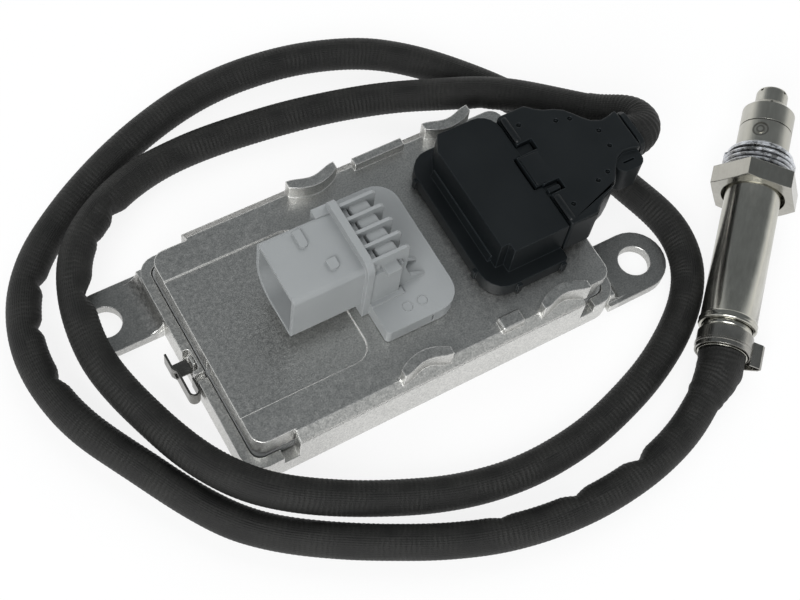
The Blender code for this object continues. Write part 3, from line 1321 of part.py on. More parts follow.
def build_end_sleeve(steel, rubber, frame):
    """The thin rear sleeve of the probe and the rubber grommet inside it."""
    radius = END_SLEEVE_RADIUS
    inside = TUBE_BORE - GAP
    length = END_SLEEVE_LENGTH
    overlap = length + BEAD_LENGTH
    bore = inside - END_SLEEVE_WALL
    groove = CLAMP_WIDTH + 2 * GAP
    profile = [
        (inside, overlap),
        (inside, length + GAP),
        (radius, length),
        (radius, groove + SLEEVE_GROOVE_WIDTH),
        (radius - SLEEVE_GROOVE_DEPTH, groove + SLEEVE_GROOVE_WIDTH / 2),
        (radius, groove),
        (radius, 0.0),
        (bore, 0.0),
        (bore, overlap),
    ]
    dress(turned("end_sleeve", profile, frame), steel)
    grommet = rod("cable_grommet", bore - GAP, GAP, GAP + GROMMET_LENGTH, frame)
    dress(grommet, rubber)


def build_tube(finish, frame):
    """The polished rear tube, with a bead at its rear and a lip that keeps the hollow screw on."""
    bead_end = TUBE_START + BEAD_LENGTH
    profile = [
        (TUBE_LIP_RADIUS, TUBE_LIP_END),
        (TUBE_LIP_RADIUS, TUBE_LIP_START + BEAD_EDGE),
        (TUBE_RADIUS, TUBE_LIP_START - BEAD_EDGE),
        (TUBE_RADIUS, bead_end),
        (BEAD_RADIUS, bead_end - BEAD_EDGE),
        (BEAD_RADIUS, TUBE_START + BEAD_EDGE),
        (BEAD_RADIUS - BEAD_EDGE, TUBE_START),
        (TUBE_BORE, TUBE_START),
        (TUBE_BORE, TUBE_LIP_END),
    ]
    return dress(turned("rear_tube", profile, frame), finish)


def build_nut(finish, frame):
    """The hollow screw: a hexagon with a chamfered rear, a male thread and a stepped bore."""
    across_corners = NUT_ACROSS_FLATS / math.sqrt(3)
    turn = frame @ Matrix.Rotation(math.radians(NUT_TURN + 90), 4, "Z")
    hex_end = NUT_START + NUT_HEX_LENGTH
    nut = rod("hollow_screw", across_corners, NUT_START, hex_end, turn, 6)
    rim = NUT_ACROSS_FLATS / 2 - NUT_CHAMFER_INSET
    dome = [
        (0.0, 2 * hex_end),
        (2 * across_corners, 2 * hex_end),
        (2 * across_corners, NUT_START + across_corners - rim + NUT_CHAMFER_RISE),
        (rim, NUT_START - NUT_CHAMFER_INSET / 2),
        (0.0, NUT_START - NUT_CHAMFER_INSET / 2),
    ]
    combine(nut, turned("hexagon chamfer", dome, frame), "INTERSECT")
    thread = THREAD_RADIUS
    shank = [
        (0.0, NUT_END),
        (thread - THREAD_CHAMFER, NUT_END),
        (thread, NUT_END - THREAD_CHAMFER),
        (thread, NUT_START + NUT_HEX_LENGTH / 2),
        (0.0, NUT_START + NUT_HEX_LENGTH / 2),
    ]
    fuse(nut, turned("threaded shank", shank, frame))
    entry = TUBE_LIP_RADIUS + RUNNING_GAP
    bore = SHELL_RADIUS + RUNNING_GAP
    counterbore = TUBE_LIP_END + RUNNING_GAP
    hollow = [
        (0.0, 2 * NUT_END),
        (bore, 2 * NUT_END),
        (bore, counterbore),
        (entry, counterbore),
        (entry, 0.0),
        (0.0, 0.0),
    ]
    cut(nut, turned("screw bore", hollow, frame))
    return dress(nut, finish)


def build_shell(finish, frame):
    """The steel shell that carries the ceramics, and the sealing seat round it."""
    rear = TUBE_BORE - GAP
    step = TUBE_LIP_END + GAP
    lip = SHELL_END - SHELL_LIP_LENGTH
    profile = [
        (SHELL_RADIUS, SHELL_END),
        (SHELL_RADIUS, step),
        (rear, step),
        (rear, SHELL_REAR),
        (SHELL_BORE, SHELL_REAR),
        (SHELL_BORE, lip),
        (SHELL_BORE - SHELL_LIP_WIDTH, lip),
        (SHELL_BORE - SHELL_LIP_WIDTH, SHELL_END),
    ]
    shell = turned("probe_shell", profile, frame)
    weld_place = Matrix.Translation((0, SHELL_RADIUS, DIMPLE_PLACE))
    weld_frame = frame @ weld_place @ Matrix.Rotation(math.radians(-90), 4, "X")
    inner = DIMPLE_RADIUS - DIMPLE_RING
    cut(shell, ring("weld dimple", DIMPLE_RADIUS, inner, -DIMPLE_DEPTH, DIMPLE_RADIUS, weld_frame, 16))
    dress(shell, finish)
    seat_end = SEAT_START + SEAT_LENGTH
    seat = [
        (SEAT_RADIUS - SEAT_SHOULDER, seat_end),
        (SEAT_RADIUS, seat_end - SEAT_SHOULDER),
        (SEAT_RADIUS, SEAT_START),
        (SHELL_RADIUS + GAP, SEAT_START),
        (SHELL_RADIUS + GAP, seat_end),
    ]
    dress(turned("sealing_seat", seat, frame), finish)


def element_hollow(name, start, end, frame):
    """The flat hollow for the sensing element between two places along the probe."""
    half_width = ELEMENT_WIDTH / 2 + GAP
    half_thickness = ELEMENT_THICKNESS / 2 + GAP
    return block(name, (-half_width, -half_thickness, start), (half_width, half_thickness, end), frame)


def build_inside(ceramic, powder, frame):
    """The sensing element and what holds it: contact holder, two bushes and the packed powder ring."""
    low = (-ELEMENT_WIDTH / 2, -ELEMENT_THICKNESS / 2, ELEMENT_START)
    element = block("sensing_element", low, (ELEMENT_WIDTH / 2, ELEMENT_THICKNESS / 2, ELEMENT_END), frame)
    dress(element, ceramic)
    holder_start = GROMMET_LENGTH + HOLDER_CLEARANCE
    bush_radius = SHELL_BORE - GAP
    powder_start = SHELL_REAR + POWDER_PLACE
    powder_end = powder_start + POWDER_LENGTH
    pieces = (
        ("contact_holder", TUBE_BORE - GAP, holder_start, holder_start + HOLDER_LENGTH, ceramic),
        ("rear_bush", bush_radius, SHELL_REAR + GAP, powder_start - GAP, ceramic),
        ("powder_seal", bush_radius, powder_start, powder_end, powder),
        ("front_bush", bush_radius, powder_end + GAP, SHELL_END - SHELL_LIP_LENGTH - GAP, ceramic),
    )
    for name, radius, start, end, finish in pieces:
        piece = rod(name, radius, start, end, frame)
        cut(piece, element_hollow(name + " slot", start - radius, end + radius, frame))
        dress(piece, finish)


def build_protection_tubes(finish, frame):
    """The outer tube with its sloped shoulder and the inner tube that stands out as the probe's tip."""
    wall = PROTECTION_WALL
    start = SHELL_END + GAP
    neck = TIP_RADIUS + GAP
    outer = [
        (neck + wall, OUTER_TUBE_END),
        (SHELL_RADIUS, TIP_SHOULDER),
        (SHELL_RADIUS, start),
        (SHELL_RADIUS - wall, start),
        (SHELL_RADIUS - wall, TIP_SHOULDER - wall / 2),
        (neck, OUTER_TUBE_END - wall),
        (neck, OUTER_TUBE_END),
    ]
    outer_tube = turned("outer_protection_tube", outer, frame)
    hole_place = TIP_SHOULDER + TIP_HOLE_RADIUS
    drill_holes(outer_tube, SHOULDER_HOLE_COUNT, hole_place, SHELL_RADIUS, SHOULDER_HOLE_FIRST, frame)
    dress(outer_tube, finish)
    round_start = TIP_END - TIP_RADIUS * TIP_DOME
    dome = dome_profile(TIP_RADIUS, round_start)
    hollow = TIP_RADIUS - wall
    inside = dome_profile(hollow, round_start)
    flange = SHELL_RADIUS - wall - GAP
    profile = dome + [
        (TIP_RADIUS, start + 2 * wall),
        (flange, start + 2 * wall),
        (flange, start + wall / 5),
        (hollow, start + wall / 5),
    ]
    profile += inside[::-1]
    inner_tube = turned("inner_protection_tube", profile, frame)
    drill_holes(inner_tube, TIP_HOLE_COUNT, round_start, TIP_RADIUS, TIP_HOLE_FIRST, frame)
    dress(inner_tube, finish)


def dome_profile(radius, bottom):
    """Profile of the tip's low dome, from its top down to its side."""
    steps = 4
    angles = [math.radians(90 - 90 * i / steps) for i in range(steps + 1)]
    return [(radius * math.cos(a), bottom + radius * TIP_DOME * math.sin(a)) for a in angles]


def drill_holes(item, count, place, reach, first, frame):
    """Drills small holes round a thin tube."""
    for index in range(count):
        turn = Matrix.Rotation(math.radians(first + 360 * index / count), 4, "Z")
        drill = frame @ turn @ Matrix.Translation((0, 0, place)) @ Matrix.Rotation(math.radians(90), 4, "Y")
        cut(item, rod("gas hole", TIP_HOLE_RADIUS, reach / 2, 2 * reach, drill, 8))


def build_model():
    """Builds every piece."""
    clear_scene()
    cast = Finish("cast aluminium", (0.36, 0.37, 0.38), 0.55, 0.9)
    pale = Finish("pale plastic", (0.52, 0.54, 0.54), 0.55, 0.0)
    black = Finish("black plastic", (0.020, 0.023, 0.025), 0.45, 0.0)
    rubber = Finish("black rubber", (0.025, 0.025, 0.024), 0.8, 0.0)
    sealant = Finish("grey sealant", (0.12, 0.12, 0.12), 0.7, 0.0)
    laminate = Finish("green laminate", (0.02, 0.14, 0.06), 0.5, 0.0)
    package = Finish("chip package", (0.03, 0.03, 0.03), 0.5, 0.0)
    can = Finish("capacitor can", (0.55, 0.55, 0.56), 0.35, 0.9)
    tin = Finish("tinned contact", (0.65, 0.63, 0.58), 0.3, 1.0)
    spring = Finish("spring steel", (0.30, 0.29, 0.27), 0.4, 1.0)
    steel = Finish("stainless steel", (0.45, 0.44, 0.41), 0.3, 1.0)
    ceramic = Finish("white ceramic", (0.80, 0.79, 0.75), 0.5, 0.0)
    powder = Finish("packed powder", (0.62, 0.60, 0.55), 0.9, 0.0)
    build_base(cast)
    build_cover(cast)
    build_seal(sealant)
    build_clip(spring)
    build_board(laminate)
    build_components(package, can, steel)
    build_vehicle_header(pale)
    build_contacts(tin)
    build_sensor_header(black)
    build_plug(black, rubber)
    build_rear_cover(black)
    build_collar(black)
    build_cable(rubber, rubber)
    frame = probe_frame()
    build_boot(rubber, frame)
    build_clamp(spring, frame)
    build_end_sleeve(steel, rubber, frame)
    build_tube(steel, frame)
    build_nut(steel, frame)
    build_shell(steel, frame)
    build_inside(ceramic, powder, frame)
    build_protection_tubes(steel, frame)


build_model()
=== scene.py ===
"""Looks of a nitrogen oxide sensor: control unit, two plug headers, sleeved cable and probe."""

import json
import logging
import math
from dataclasses import dataclass, field
from enum import Enum
from typing import Callable, Optional, Sequence, Union

import bmesh
import bpy
from mathutils import Matrix, Vector, noise

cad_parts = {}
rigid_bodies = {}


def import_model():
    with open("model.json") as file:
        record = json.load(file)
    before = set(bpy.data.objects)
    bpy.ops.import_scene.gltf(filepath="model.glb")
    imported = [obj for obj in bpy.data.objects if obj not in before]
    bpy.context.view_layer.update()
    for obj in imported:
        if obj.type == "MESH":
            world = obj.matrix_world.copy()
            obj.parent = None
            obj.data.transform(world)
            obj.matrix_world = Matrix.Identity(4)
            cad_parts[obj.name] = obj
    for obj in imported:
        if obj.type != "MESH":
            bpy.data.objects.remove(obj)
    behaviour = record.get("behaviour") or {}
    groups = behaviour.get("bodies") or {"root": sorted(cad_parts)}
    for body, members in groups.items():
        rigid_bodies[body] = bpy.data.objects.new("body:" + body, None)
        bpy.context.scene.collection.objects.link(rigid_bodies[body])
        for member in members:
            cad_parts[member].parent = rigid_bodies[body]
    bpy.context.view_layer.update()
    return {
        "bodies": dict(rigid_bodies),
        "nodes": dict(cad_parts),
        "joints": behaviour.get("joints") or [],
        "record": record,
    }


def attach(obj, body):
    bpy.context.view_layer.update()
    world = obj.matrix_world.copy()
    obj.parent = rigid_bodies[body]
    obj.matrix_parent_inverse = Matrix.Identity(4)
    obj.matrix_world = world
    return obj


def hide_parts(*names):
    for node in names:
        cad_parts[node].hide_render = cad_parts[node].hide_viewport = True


LOG = logging.getLogger("sensor")
MM = 0.001

# Where the probe's end sleeve begins, and the probe's heading, rise and weld spot in degrees
PROBE_START = (0.07035, -0.0600, 0.0074)
PROBE_HEADING = 45.5
PROBE_TILT = 5.16
WELD_TURN = -23.0

# Angles in degrees: of faces in one plane, of a sharp edge, and of one that a rounding leaves sharp
FLAT_ANGLE = 0.8
SHARP_ANGLE = 32.0
ROUND_ANGLE = 50.0

# Distances within which points are joined
SEAM_MERGE = 0.000001
TURNED_MERGE = 0.000002
COPY_MERGE = 0.00001
BEVEL_MERGE = 0.00006

# How far an added piece reaches into what it stands on
SUNK = 0.0001

# The range in which most values of a noise lie
MIDDLE = (0.3, 0.7)

# The rays by which the finishes feel for an edge, and the places of the Mix node's colour sockets
EDGE_SAMPLES = 6
MIX_LOW, MIX_HIGH, MIX_RESULT = 6, 7, 2

CABLE_RADIUS = 0.0047
CABLE_GIRTH = 2.0 * math.pi * CABLE_RADIUS

Number = Union[float, int]
Pair = tuple[float, float]
Triple = tuple[float, float, float]
Profile = Sequence[Pair]


class Body(Enum):
    """The two bodies of the model."""

    SENSOR = "sensor"
    SCREW = "screw"


class Slot(Enum):
    """The material slots of the record."""

    CAST = "cast_aluminium"
    SEALANT = "sealant"
    SPRING = "spring_steel"
    BOARD = "board_laminate"
    CHIP = "chip_package"
    CAN = "component_metal"
    PALE = "pale_plastic"
    CONTACT = "contact_metal"
    BLACK = "black_plastic"
    RUBBER = "black_rubber"
    SLEEVE = "cable_sleeve"
    STEEL = "stainless_steel"
    CERAMIC = "ceramic"
    POWDER = "packed_powder"


class Look(Enum):
    """The finishes of single pieces, beside those of the slots."""

    WELDED = "welded_shell"
    SATIN = "satin_steel"
    HEXAGON = "hexagon_steel"
    THREAD = "thread_paste"
    SEAT = "seat_paste"
    CLIP = "clip_steel"


Choice = Union[Slot, Look]


# Shader maths


class Signal:
    """A node's output socket that takes part in Python arithmetic."""

    def __init__(self, shader: "Shader", socket: bpy.types.NodeSocket) -> None:
        """Keeps the socket and the shader that it belongs to."""
        self.shader = shader
        self.socket = socket

    def _math(self, operation: str, *values: Union["Signal", Number]) -> "Signal":
        """Adds one Math node that works on the values in order."""
        return self.shader.node("ShaderNodeMath", {"operation": operation}, dict(enumerate(values)))

    def __add__(self, other: Union["Signal", Number]) -> "Signal":
        """self + other."""
        return self._math("ADD", self, other)

    __radd__ = __add__

    def __sub__(self, other: Union["Signal", Number]) -> "Signal":
        """self - other."""
        return self._math("SUBTRACT", self, other)

    def __rsub__(self, other: Union["Signal", Number]) -> "Signal":
        """other - self."""
        return self._math("SUBTRACT", other, self)

    def __mul__(self, other: Union["Signal", Number]) -> "Signal":
        """self * other."""
        return self._math("MULTIPLY", self, other)

    __rmul__ = __mul__

    def __pow__(self, other: Union["Signal", Number]) -> "Signal":
        """self ** other."""
        return self._math("POWER", self, other)

    def __truediv__(self, other: Union["Signal", Number]) -> "Signal":
        """self / other."""
        return self._math("DIVIDE", self, other)

    def hypot(self, other: "Signal") -> "Signal":
        """The length of the vector with the two values as its parts."""
        return (self * self + other * other) ** 0.5

    def unsigned(self) -> "Signal":
        """The value without its sign."""
        return (self ** 2.0) ** 0.5

    def at_most(self, other: Number) -> "Signal":
        """The smaller of the value and the other."""
        return self._math("MINIMUM", self, other)

    def waves(self, pitch: float, wander: "Signal", amount: float) -> "Signal":
        """Waves between 0 and 1 along the value.

        Args:
            pitch: the length of one wave.
            wander: a noise that shifts the waves.
            amount: how many radians the noise shifts them.

        Returns:
            The waves.
        """
        phase = self * (2 * math.pi / pitch) + wander * amount
        return self._math("SINE", phase) * 0.5 + 0.5

    def span(self, low: Number, high: Number, to_low: Number = 0.0,
             to_high: Number = 1.0) -> "Signal":
        """Maps low..high to to_low..to_high, held at both ends."""
        return self.shader.node(
            "ShaderNodeMapRange",
            {"clamp": True},
            {"Value": self, "From Min": low, "From Max": high, "To Min": to_low, "To Max": to_high},
        )


Value = Union[Signal, Number, Sequence[float]]


def weighted(shares: Sequence[float], *signals: Signal) -> Signal:
    """The sum of the signals, each times its share."""
    first, *others = [signal * share for signal, share in zip(signals, shares)]
    return sum(others, first)


def shaded(colour: Triple, share: float) -> Triple:
    """A colour whose parts are all multiplied by a share, and at most 1."""
    return tuple(min(1.0, part * share) for part in colour)


class Shader:
    """The node tree of a material or world under construction."""

    def __init__(self, owner: Union[bpy.types.Material, bpy.types.World]) -> None:
        """Empties the owner's node tree."""
        owner.use_nodes = True
        self.owner = owner
        self.tree = owner.node_tree
        self.tree.nodes.clear()

    def node(self, kind: str, settings: Optional[dict] = None, values: Optional[dict] = None,
             output: Union[int, str] = 0) -> Signal:
        """Adds a node.

        Args:
            kind: the node's type.
            settings: properties set before the sockets.
            values: numbers, colours or signals by socket name or index.
            output: the output socket to return.

        Returns:
            The chosen output.
        """
        made = self.tree.nodes.new(kind)
        for name, setting in (settings or {}).items():
            setattr(made, name, setting)
        for name, value in (values or {}).items():
            socket = made.inputs[name]
            if isinstance(value, Signal):
                self.tree.links.new(value.socket, socket)
            else:
                socket.default_value = value
        return Signal(self, made.outputs[output])

    def place(self, uv: bool = False) -> Signal:
        """Object coordinates, or the piece's UV map."""
        return self.node("ShaderNodeTexCoord", output="UV" if uv else "Object")

    def along_probe(self, scale: Triple = (1.0, 1.0, 1.0)) -> Signal:
        """Object coordinates in the probe's own frame, stretched by scale.

        Args:
            scale: factors across, up and along the probe.

        Returns:
            The vector.
        """
        frame = probe_frame().inverted()
        turn, shift = tuple(frame.to_euler()), tuple(frame.translation)
        local = self.node("ShaderNodeMapping", None,
                          {"Vector": self.place(), "Rotation": turn, "Location": shift})
        return self.stretch(local, scale)

    def stretch(self, vector: Signal, scale: Triple) -> Signal:
        """A vector scaled along its axes."""
        return self.node("ShaderNodeVectorMath", {"operation": "MULTIPLY"}, {0: vector, 1: scale})

    def noise(self, where: Signal, scale: float, detail: float = 3.0, rough: float = 0.6) -> Signal:
        """Noise between 0 and 1 with features about 1/scale metres wide."""
        return self.node("ShaderNodeTexNoise", None,
                         {"Vector": where, "Scale": scale, "Detail": detail, "Roughness": rough})

    def parts(self, vector: Signal, index: int) -> Signal:
        """One component of a vector."""
        return self.node("ShaderNodeSeparateXYZ", None, {0: vector}, output=index)

    def blend(self, low: Value, high: Value, factor: Value) -> Signal:
        """Mixes two colours.

        Args:
            low: the colour at 0.
            high: the colour at 1.
            factor: the share of the second colour.

        Returns:
            The mixed colour.
        """
        low = low if isinstance(low, Signal) else (*low, 1.0)
        high = high if isinstance(high, Signal) else (*high, 1.0)
        return self.node("ShaderNodeMix", {"data_type": "RGBA"},
                         {"Factor": factor, MIX_LOW: low, MIX_HIGH: high}, output=MIX_RESULT)

    def rounded(self, radius: float) -> Signal:
        """The normal of the surface with its edges rounded to a radius."""
        return self.node("ShaderNodeBevel", {"samples": EDGE_SAMPLES}, {"Radius": radius})

    def wear_and_highlight(self, radius: float, high: float = 0.16, low: float = 0.01) -> Signal:
        """How near an edge the surface is, from 0 to 1: the mask of rubbed wear and of a painted edge
        highlight.

        Args:
            radius: how far from the edge the mask begins.
            high: the bend of the rounded normal at which the mask is full.
            low: the least bend that shows.

        Returns:
            The mask.
        """
        true = self.node("ShaderNodeNewGeometry", output="Normal")
        bend = self.node("ShaderNodeVectorMath", {"operation": "DOT_PRODUCT"},
                         {0: self.rounded(radius), 1: true}, output="Value")
        return (1.0 - bend).span(low, high)

    def bump(self, height: Signal, depth: float, strength: float = 1.0,
             edge: float = 0.0) -> Signal:
        """A normal from a height.

        Args:
            height: the height between 0 and 1.
            depth: how many metres high 1 stands.
            strength: the share of the bump that shows.
            edge: the radius to which sharp edges look rounded.

        Returns:
            The normal.
        """
        values = {"Height": height, "Distance": depth, "Strength": strength}
        if edge:
            values["Normal"] = self.rounded(edge)
        return self.node("ShaderNodeBump", None, values)

    def surface(self, **sockets: Value) -> bpy.types.Material:
        """Closes the material with a Principled shader.

        Args:
            sockets: values by socket name, with underscores for spaces.

        Returns:
            The finished material.
        """
        values = {name.replace("_", " "): value for name, value in sockets.items()}
        self.close(self.node("ShaderNodeBsdfPrincipled", None, values))
        return self.owner

    def close(self, painted_valley_shade: Signal, output: str = "ShaderNodeOutputMaterial") -> None:
        """Joins a shader to the tree's output."""
        end = self.tree.nodes.new(output)
        self.tree.links.new(painted_valley_shade.socket, end.inputs["Surface"])


def new_material(name: str) -> Shader:
    """Starts a node material of that name."""
    return Shader(bpy.data.materials.new(name))


def probe_frame() -> Matrix:
    """The probe's own frame.

    Returns:
        The frame, with Z along the probe's axis to the tip and Y upwards, at its end sleeve's rear.
    """
    heading, tilt = math.radians(PROBE_HEADING), math.radians(PROBE_TILT)
    flat = math.cos(tilt)
    along = Vector((math.cos(heading) * flat, math.sin(heading) * flat, math.sin(tilt)))
    up = (Vector((0.0, 0.0, 1.0)) - along * along.z).normalized()
    frame = Matrix((up.cross(along), up, along)).transposed().to_4x4()
    frame.translation = Vector(PROBE_START)
    return frame


# Finishes


@dataclass(frozen=True)
class CastMetal:
    """Blasted die-cast aluminium: a sparkling grain, faint clouds, edges lightened partly by rubbed
    wear and partly by a painted highlight, and darker tabs.
    """

    choice: Choice = Slot.CAST
    dark: Triple = (0.43, 0.432, 0.42)
    light: Triple = (0.815, 0.81, 0.785)
    # The edge colour: rubbed metal with a painted highlight
    rubbed_and_highlit_edge: Triple = (0.95, 0.945, 0.92)
    cloud_scale: float = 45.0
    speck_scale: float = 2300.0
    speck_range: Pair = (0.35, 0.65)
    coarse_scale: float = 900.0
    tone_shares: Triple = (0.15, 0.6, 0.25)
    grain_shares: Pair = (0.6, 0.4)
    grain_depth: float = 0.00009
    grain_strength: float = 0.8
    rough_low: float = 0.32
    rough_high: float = 0.48
    edge: float = 0.0005
    edge_bend: float = 0.12
    wear_and_highlight_range: Pair = (0.25, 0.5)
    wear_and_highlight_least: float = 0.6
    rubbed_metal: float = 0.35
    rubbed_gloss: float = 0.4
    tab_start: float = 0.0563
    tab_blend: float = 0.001
    tab_shade: float = 0.74

    def make(self) -> bpy.types.Material:
        """Builds the material.

        Returns:
            The material.
        """
        shader = new_material(self.choice.value)
        where = shader.place()
        cloud = shader.noise(where, self.cloud_scale, rough=0.5)
        speck = shader.noise(where, self.speck_scale, detail=2.0)
        coarse = shader.noise(where, self.coarse_scale, rough=0.62)
        patches = coarse.span(*MIDDLE)
        tone = weighted(self.tone_shares, cloud.span(*MIDDLE), speck.span(*self.speck_range), patches)
        # Painted highlight along the edges, partly real wear: they blend towards the pale edge colour
        wear_and_highlight = shader.wear_and_highlight(self.edge, self.edge_bend)
        wear_and_highlight = wear_and_highlight * coarse.span(*self.wear_and_highlight_range, self.wear_and_highlight_least, 1.0)
        rough = coarse.span(*MIDDLE, self.rough_low, self.rough_high)
        reach = shader.parts(where, 0).unsigned()
        tab = reach.span(self.tab_start, self.tab_start + self.tab_blend)
        low = shader.blend(self.dark, shaded(self.dark, self.tab_shade), tab)
        high = shader.blend(self.light, shaded(self.light, self.tab_shade), tab)
        grain = weighted(self.grain_shares, speck, coarse)
        return shader.surface(
            Base_Color=shader.blend(shader.blend(low, high, tone), self.rubbed_and_highlit_edge, wear_and_highlight),
            Metallic=1.0 - wear_and_highlight * self.rubbed_metal,
            Roughness=rough * (1.0 - wear_and_highlight * self.rubbed_gloss),
            Normal=shader.bump(grain, self.grain_depth, self.grain_strength, self.edge),
        )


@dataclass(frozen=True)
class MouldedPlastic:
    """Injection-moulded plastic with a spark-eroded skin, and edges lightened partly by rubbed wear
    and partly by a painted highlight.
    """

    choice: Choice
    colour: Triple
    light: Triple
    rough: float = 0.42
    skin_scale: float = 3200.0
    skin_depth: float = 0.00002
    skin_strength: float = 0.6
    cloud_scale: float = 60.0
    gloss_below: float = 0.04
    gloss_above: float = 0.05
    shine: float = 0.5
    edge: float = 0.0003
    # How much lighter the edges are: rubbed wear and a painted highlight
    edge_wear_and_highlight: float = 1.12

    def make(self) -> bpy.types.Material:
        """Builds the material.

        Returns:
            The material.
        """
        shader = new_material(self.choice.value)
        where = shader.place()
        cloud = shader.noise(where, self.cloud_scale, rough=0.5)
        skin = shader.noise(where, self.skin_scale, detail=2.0, rough=0.5)
        plain = shader.blend(self.colour, self.light, cloud.span(*MIDDLE))
        # Painted highlight, partly real wear: the edge colour is the light colour made lighter still
        edge_wear_and_highlight = shaded(self.light, self.edge_wear_and_highlight)
        rough = cloud.span(*MIDDLE, self.rough - self.gloss_below, self.rough + self.gloss_above)
        return shader.surface(
            Base_Color=shader.blend(plain, edge_wear_and_highlight, shader.wear_and_highlight(self.edge)),
            Roughness=rough,
            Specular_IOR_Level=self.shine,
            Normal=shader.bump(skin, self.skin_depth, self.skin_strength, self.edge),
        )


@dataclass(frozen=True)
class TurnedSteel:
    """Polished steel, turned about the probe's axis, with an optional weld spot on its shell."""

    choice: Choice
    dark: Triple = (0.44, 0.433, 0.39)
    light: Triple = (0.565, 0.557, 0.51)
    tone_shares: Pair = (0.6, 0.4)
    rough: float = 0.17
    spread: float = 0.08
    ring_stretch: Triple = (40.0, 40.0, 9000.0)
    ring_depth: float = 0.000004
    ring_strength: float = 0.6
    cloud_scale: float = 120.0
    mark_stretch: Triple = (1.0, 1.0, 0.25)
    mark_scale: float = 1100.0
    mark_range: Pair = (0.35, 0.7)
    rough_range: Pair = (0.35, 0.75)
    spot_place: float = 0.0
    spot_rings: tuple[float, ...] = (0.00095, 0.0020)
    spot_width: float = 0.00028
    spot_fade: Pair = (0.2, 1.6)
    spot_shade: float = 0.3
    spot_cover: float = 0.8
    spot_rough: float = 0.2
    spot_rise: float = 0.001
    edge: float = 0.0

    def make(self) -> bpy.types.Material:
        """Builds the material.

        Returns:
            The material.
        """
        shader = new_material(self.choice.value)
        where = shader.along_probe()
        rings = shader.noise(shader.stretch(where, self.ring_stretch), 1.0, detail=2.0)
        cloud = shader.noise(where, self.cloud_scale, rough=0.5)
        marks = shader.noise(shader.stretch(where, self.mark_stretch), self.mark_scale, rough=0.65)
        tone = weighted(self.tone_shares, cloud.span(*MIDDLE), marks.span(*self.mark_range))
        colour = shader.blend(self.dark, self.light, tone)
        rough = marks.span(*self.rough_range, self.rough, self.rough + self.spread)
        if self.spot_place:
            burnt = self.spot(shader, where)
            black = shaded(self.dark, self.spot_shade)
            colour = shader.blend(colour, black, burnt * self.spot_cover)
            rough = rough + burnt * self.spot_rough
        normal = shader.bump(rings, self.ring_depth, self.ring_strength, self.edge)
        return shader.surface(Base_Color=colour, Metallic=1.0, Roughness=rough, Normal=normal)

    def spot(self, shader: Shader, where: Signal) -> Signal:
        """The dark rings of the weld spot, from 0 to 1.

        Args:
            shader: the material under construction.
            where: the place in the probe's frame.

        Returns:
            How burnt the surface is.
        """
        turn = math.radians(WELD_TURN)
        side, rise = shader.parts(where, 0), shader.parts(where, 1)
        across = side * math.cos(turn) + rise * math.sin(turn)
        up = rise * math.cos(turn) - side * math.sin(turn)
        reach = across.hypot(shader.parts(where, 2) - self.spot_place)
        burnt: Union[Signal, float] = 0.0
        for ring in self.spot_rings:
            off = (reach - ring) / self.spot_width
            burnt = (off * off).span(*self.spot_fade, 1.0, 0.0) + burnt
        return burnt.at_most(1.0) * up.span(0.0, self.spot_rise)


@dataclass(frozen=True)
class ThreadPaste:
    """The silvery assembly paste smeared over the screw's thread and its seat; on the thread, painted
    shade darkens the valleys.
    """

    choice: Choice
    steel: Triple = (0.33, 0.33, 0.33)
    paste: Triple = (0.74, 0.76, 0.80)
    painted_valley_shade: Triple = (0.07, 0.07, 0.075)
    stretch: Triple = (1.0, 1.0, 1.6)
    smear_scale: float = 330.0
    lump_scale: float = 1200.0
    cover_shares: Pair = (0.7, 0.3)
    cover_range: Pair = (0.40, 0.56)
    height_shares: Pair = (0.6, 0.4)
    depth: float = 0.00035
    strength: float = 0.8
    pasted_metal: float = 0.75
    bare_rough: float = 0.2
    pasted_rough: float = 0.42
    valley: float = 0.0
    crest: float = 0.0

    def make(self) -> bpy.types.Material:
        """Builds the material, with painted shade in the valleys where it has a crest.

        Returns:
            The material.
        """
        shader = new_material(self.choice.value)
        where = shader.along_probe(self.stretch)
        smear = shader.noise(where, self.smear_scale, detail=4.0, rough=0.62)
        lumps = shader.noise(where, self.lump_scale)
        cover = weighted(self.cover_shares, smear, lumps).span(*self.cover_range)
        colour = shader.blend(self.steel, self.paste, cover)
        # Painted shade: the colour darkens from the crest down into the thread's valleys
        if self.crest:
            reach = shader.parts(where, 0).hypot(shader.parts(where, 1))
            colour = shader.blend(self.painted_valley_shade, colour, reach.span(self.valley, self.crest))
        height = weighted(self.height_shares, smear, lumps)
        return shader.surface(
            Base_Color=colour,
            Metallic=cover.span(0.0, 1.0, 1.0, self.pasted_metal),
            Roughness=cover.span(0.0, 1.0, self.bare_rough, self.pasted_rough),
            Normal=shader.bump(height, self.depth, self.strength),
        )


@dataclass(frozen=True)
class SpringSteel:
    """Rolled spring strip with a fine grain."""

    choice: Choice
    dark: Triple = (0.27, 0.265, 0.245)
    light: Triple = (0.42, 0.41, 0.385)
    rough: float = 0.22
    spread: float = 0.12
    grain_stretch: Triple = (90.0, 90.0, 2600.0)
    grain_depth: float = 0.00001
    grain_strength: float = 0.5
    cloud_scale: float = 220.0

    def make(self) -> bpy.types.Material:
        """Builds the material.

        Returns:
            The material.
        """
        shader = new_material(self.choice.value)
        where = shader.place()
        grain = shader.noise(shader.stretch(where, self.grain_stretch), 1.0)
        cloud = shader.noise(where, self.cloud_scale)
        return shader.surface(
            Base_Color=shader.blend(self.dark, self.light, cloud.span(*MIDDLE)),
            Metallic=1.0,
            Roughness=grain.span(*MIDDLE, self.rough, self.rough + self.spread),
            Normal=shader.bump(grain, self.grain_depth, self.grain_strength),
        )


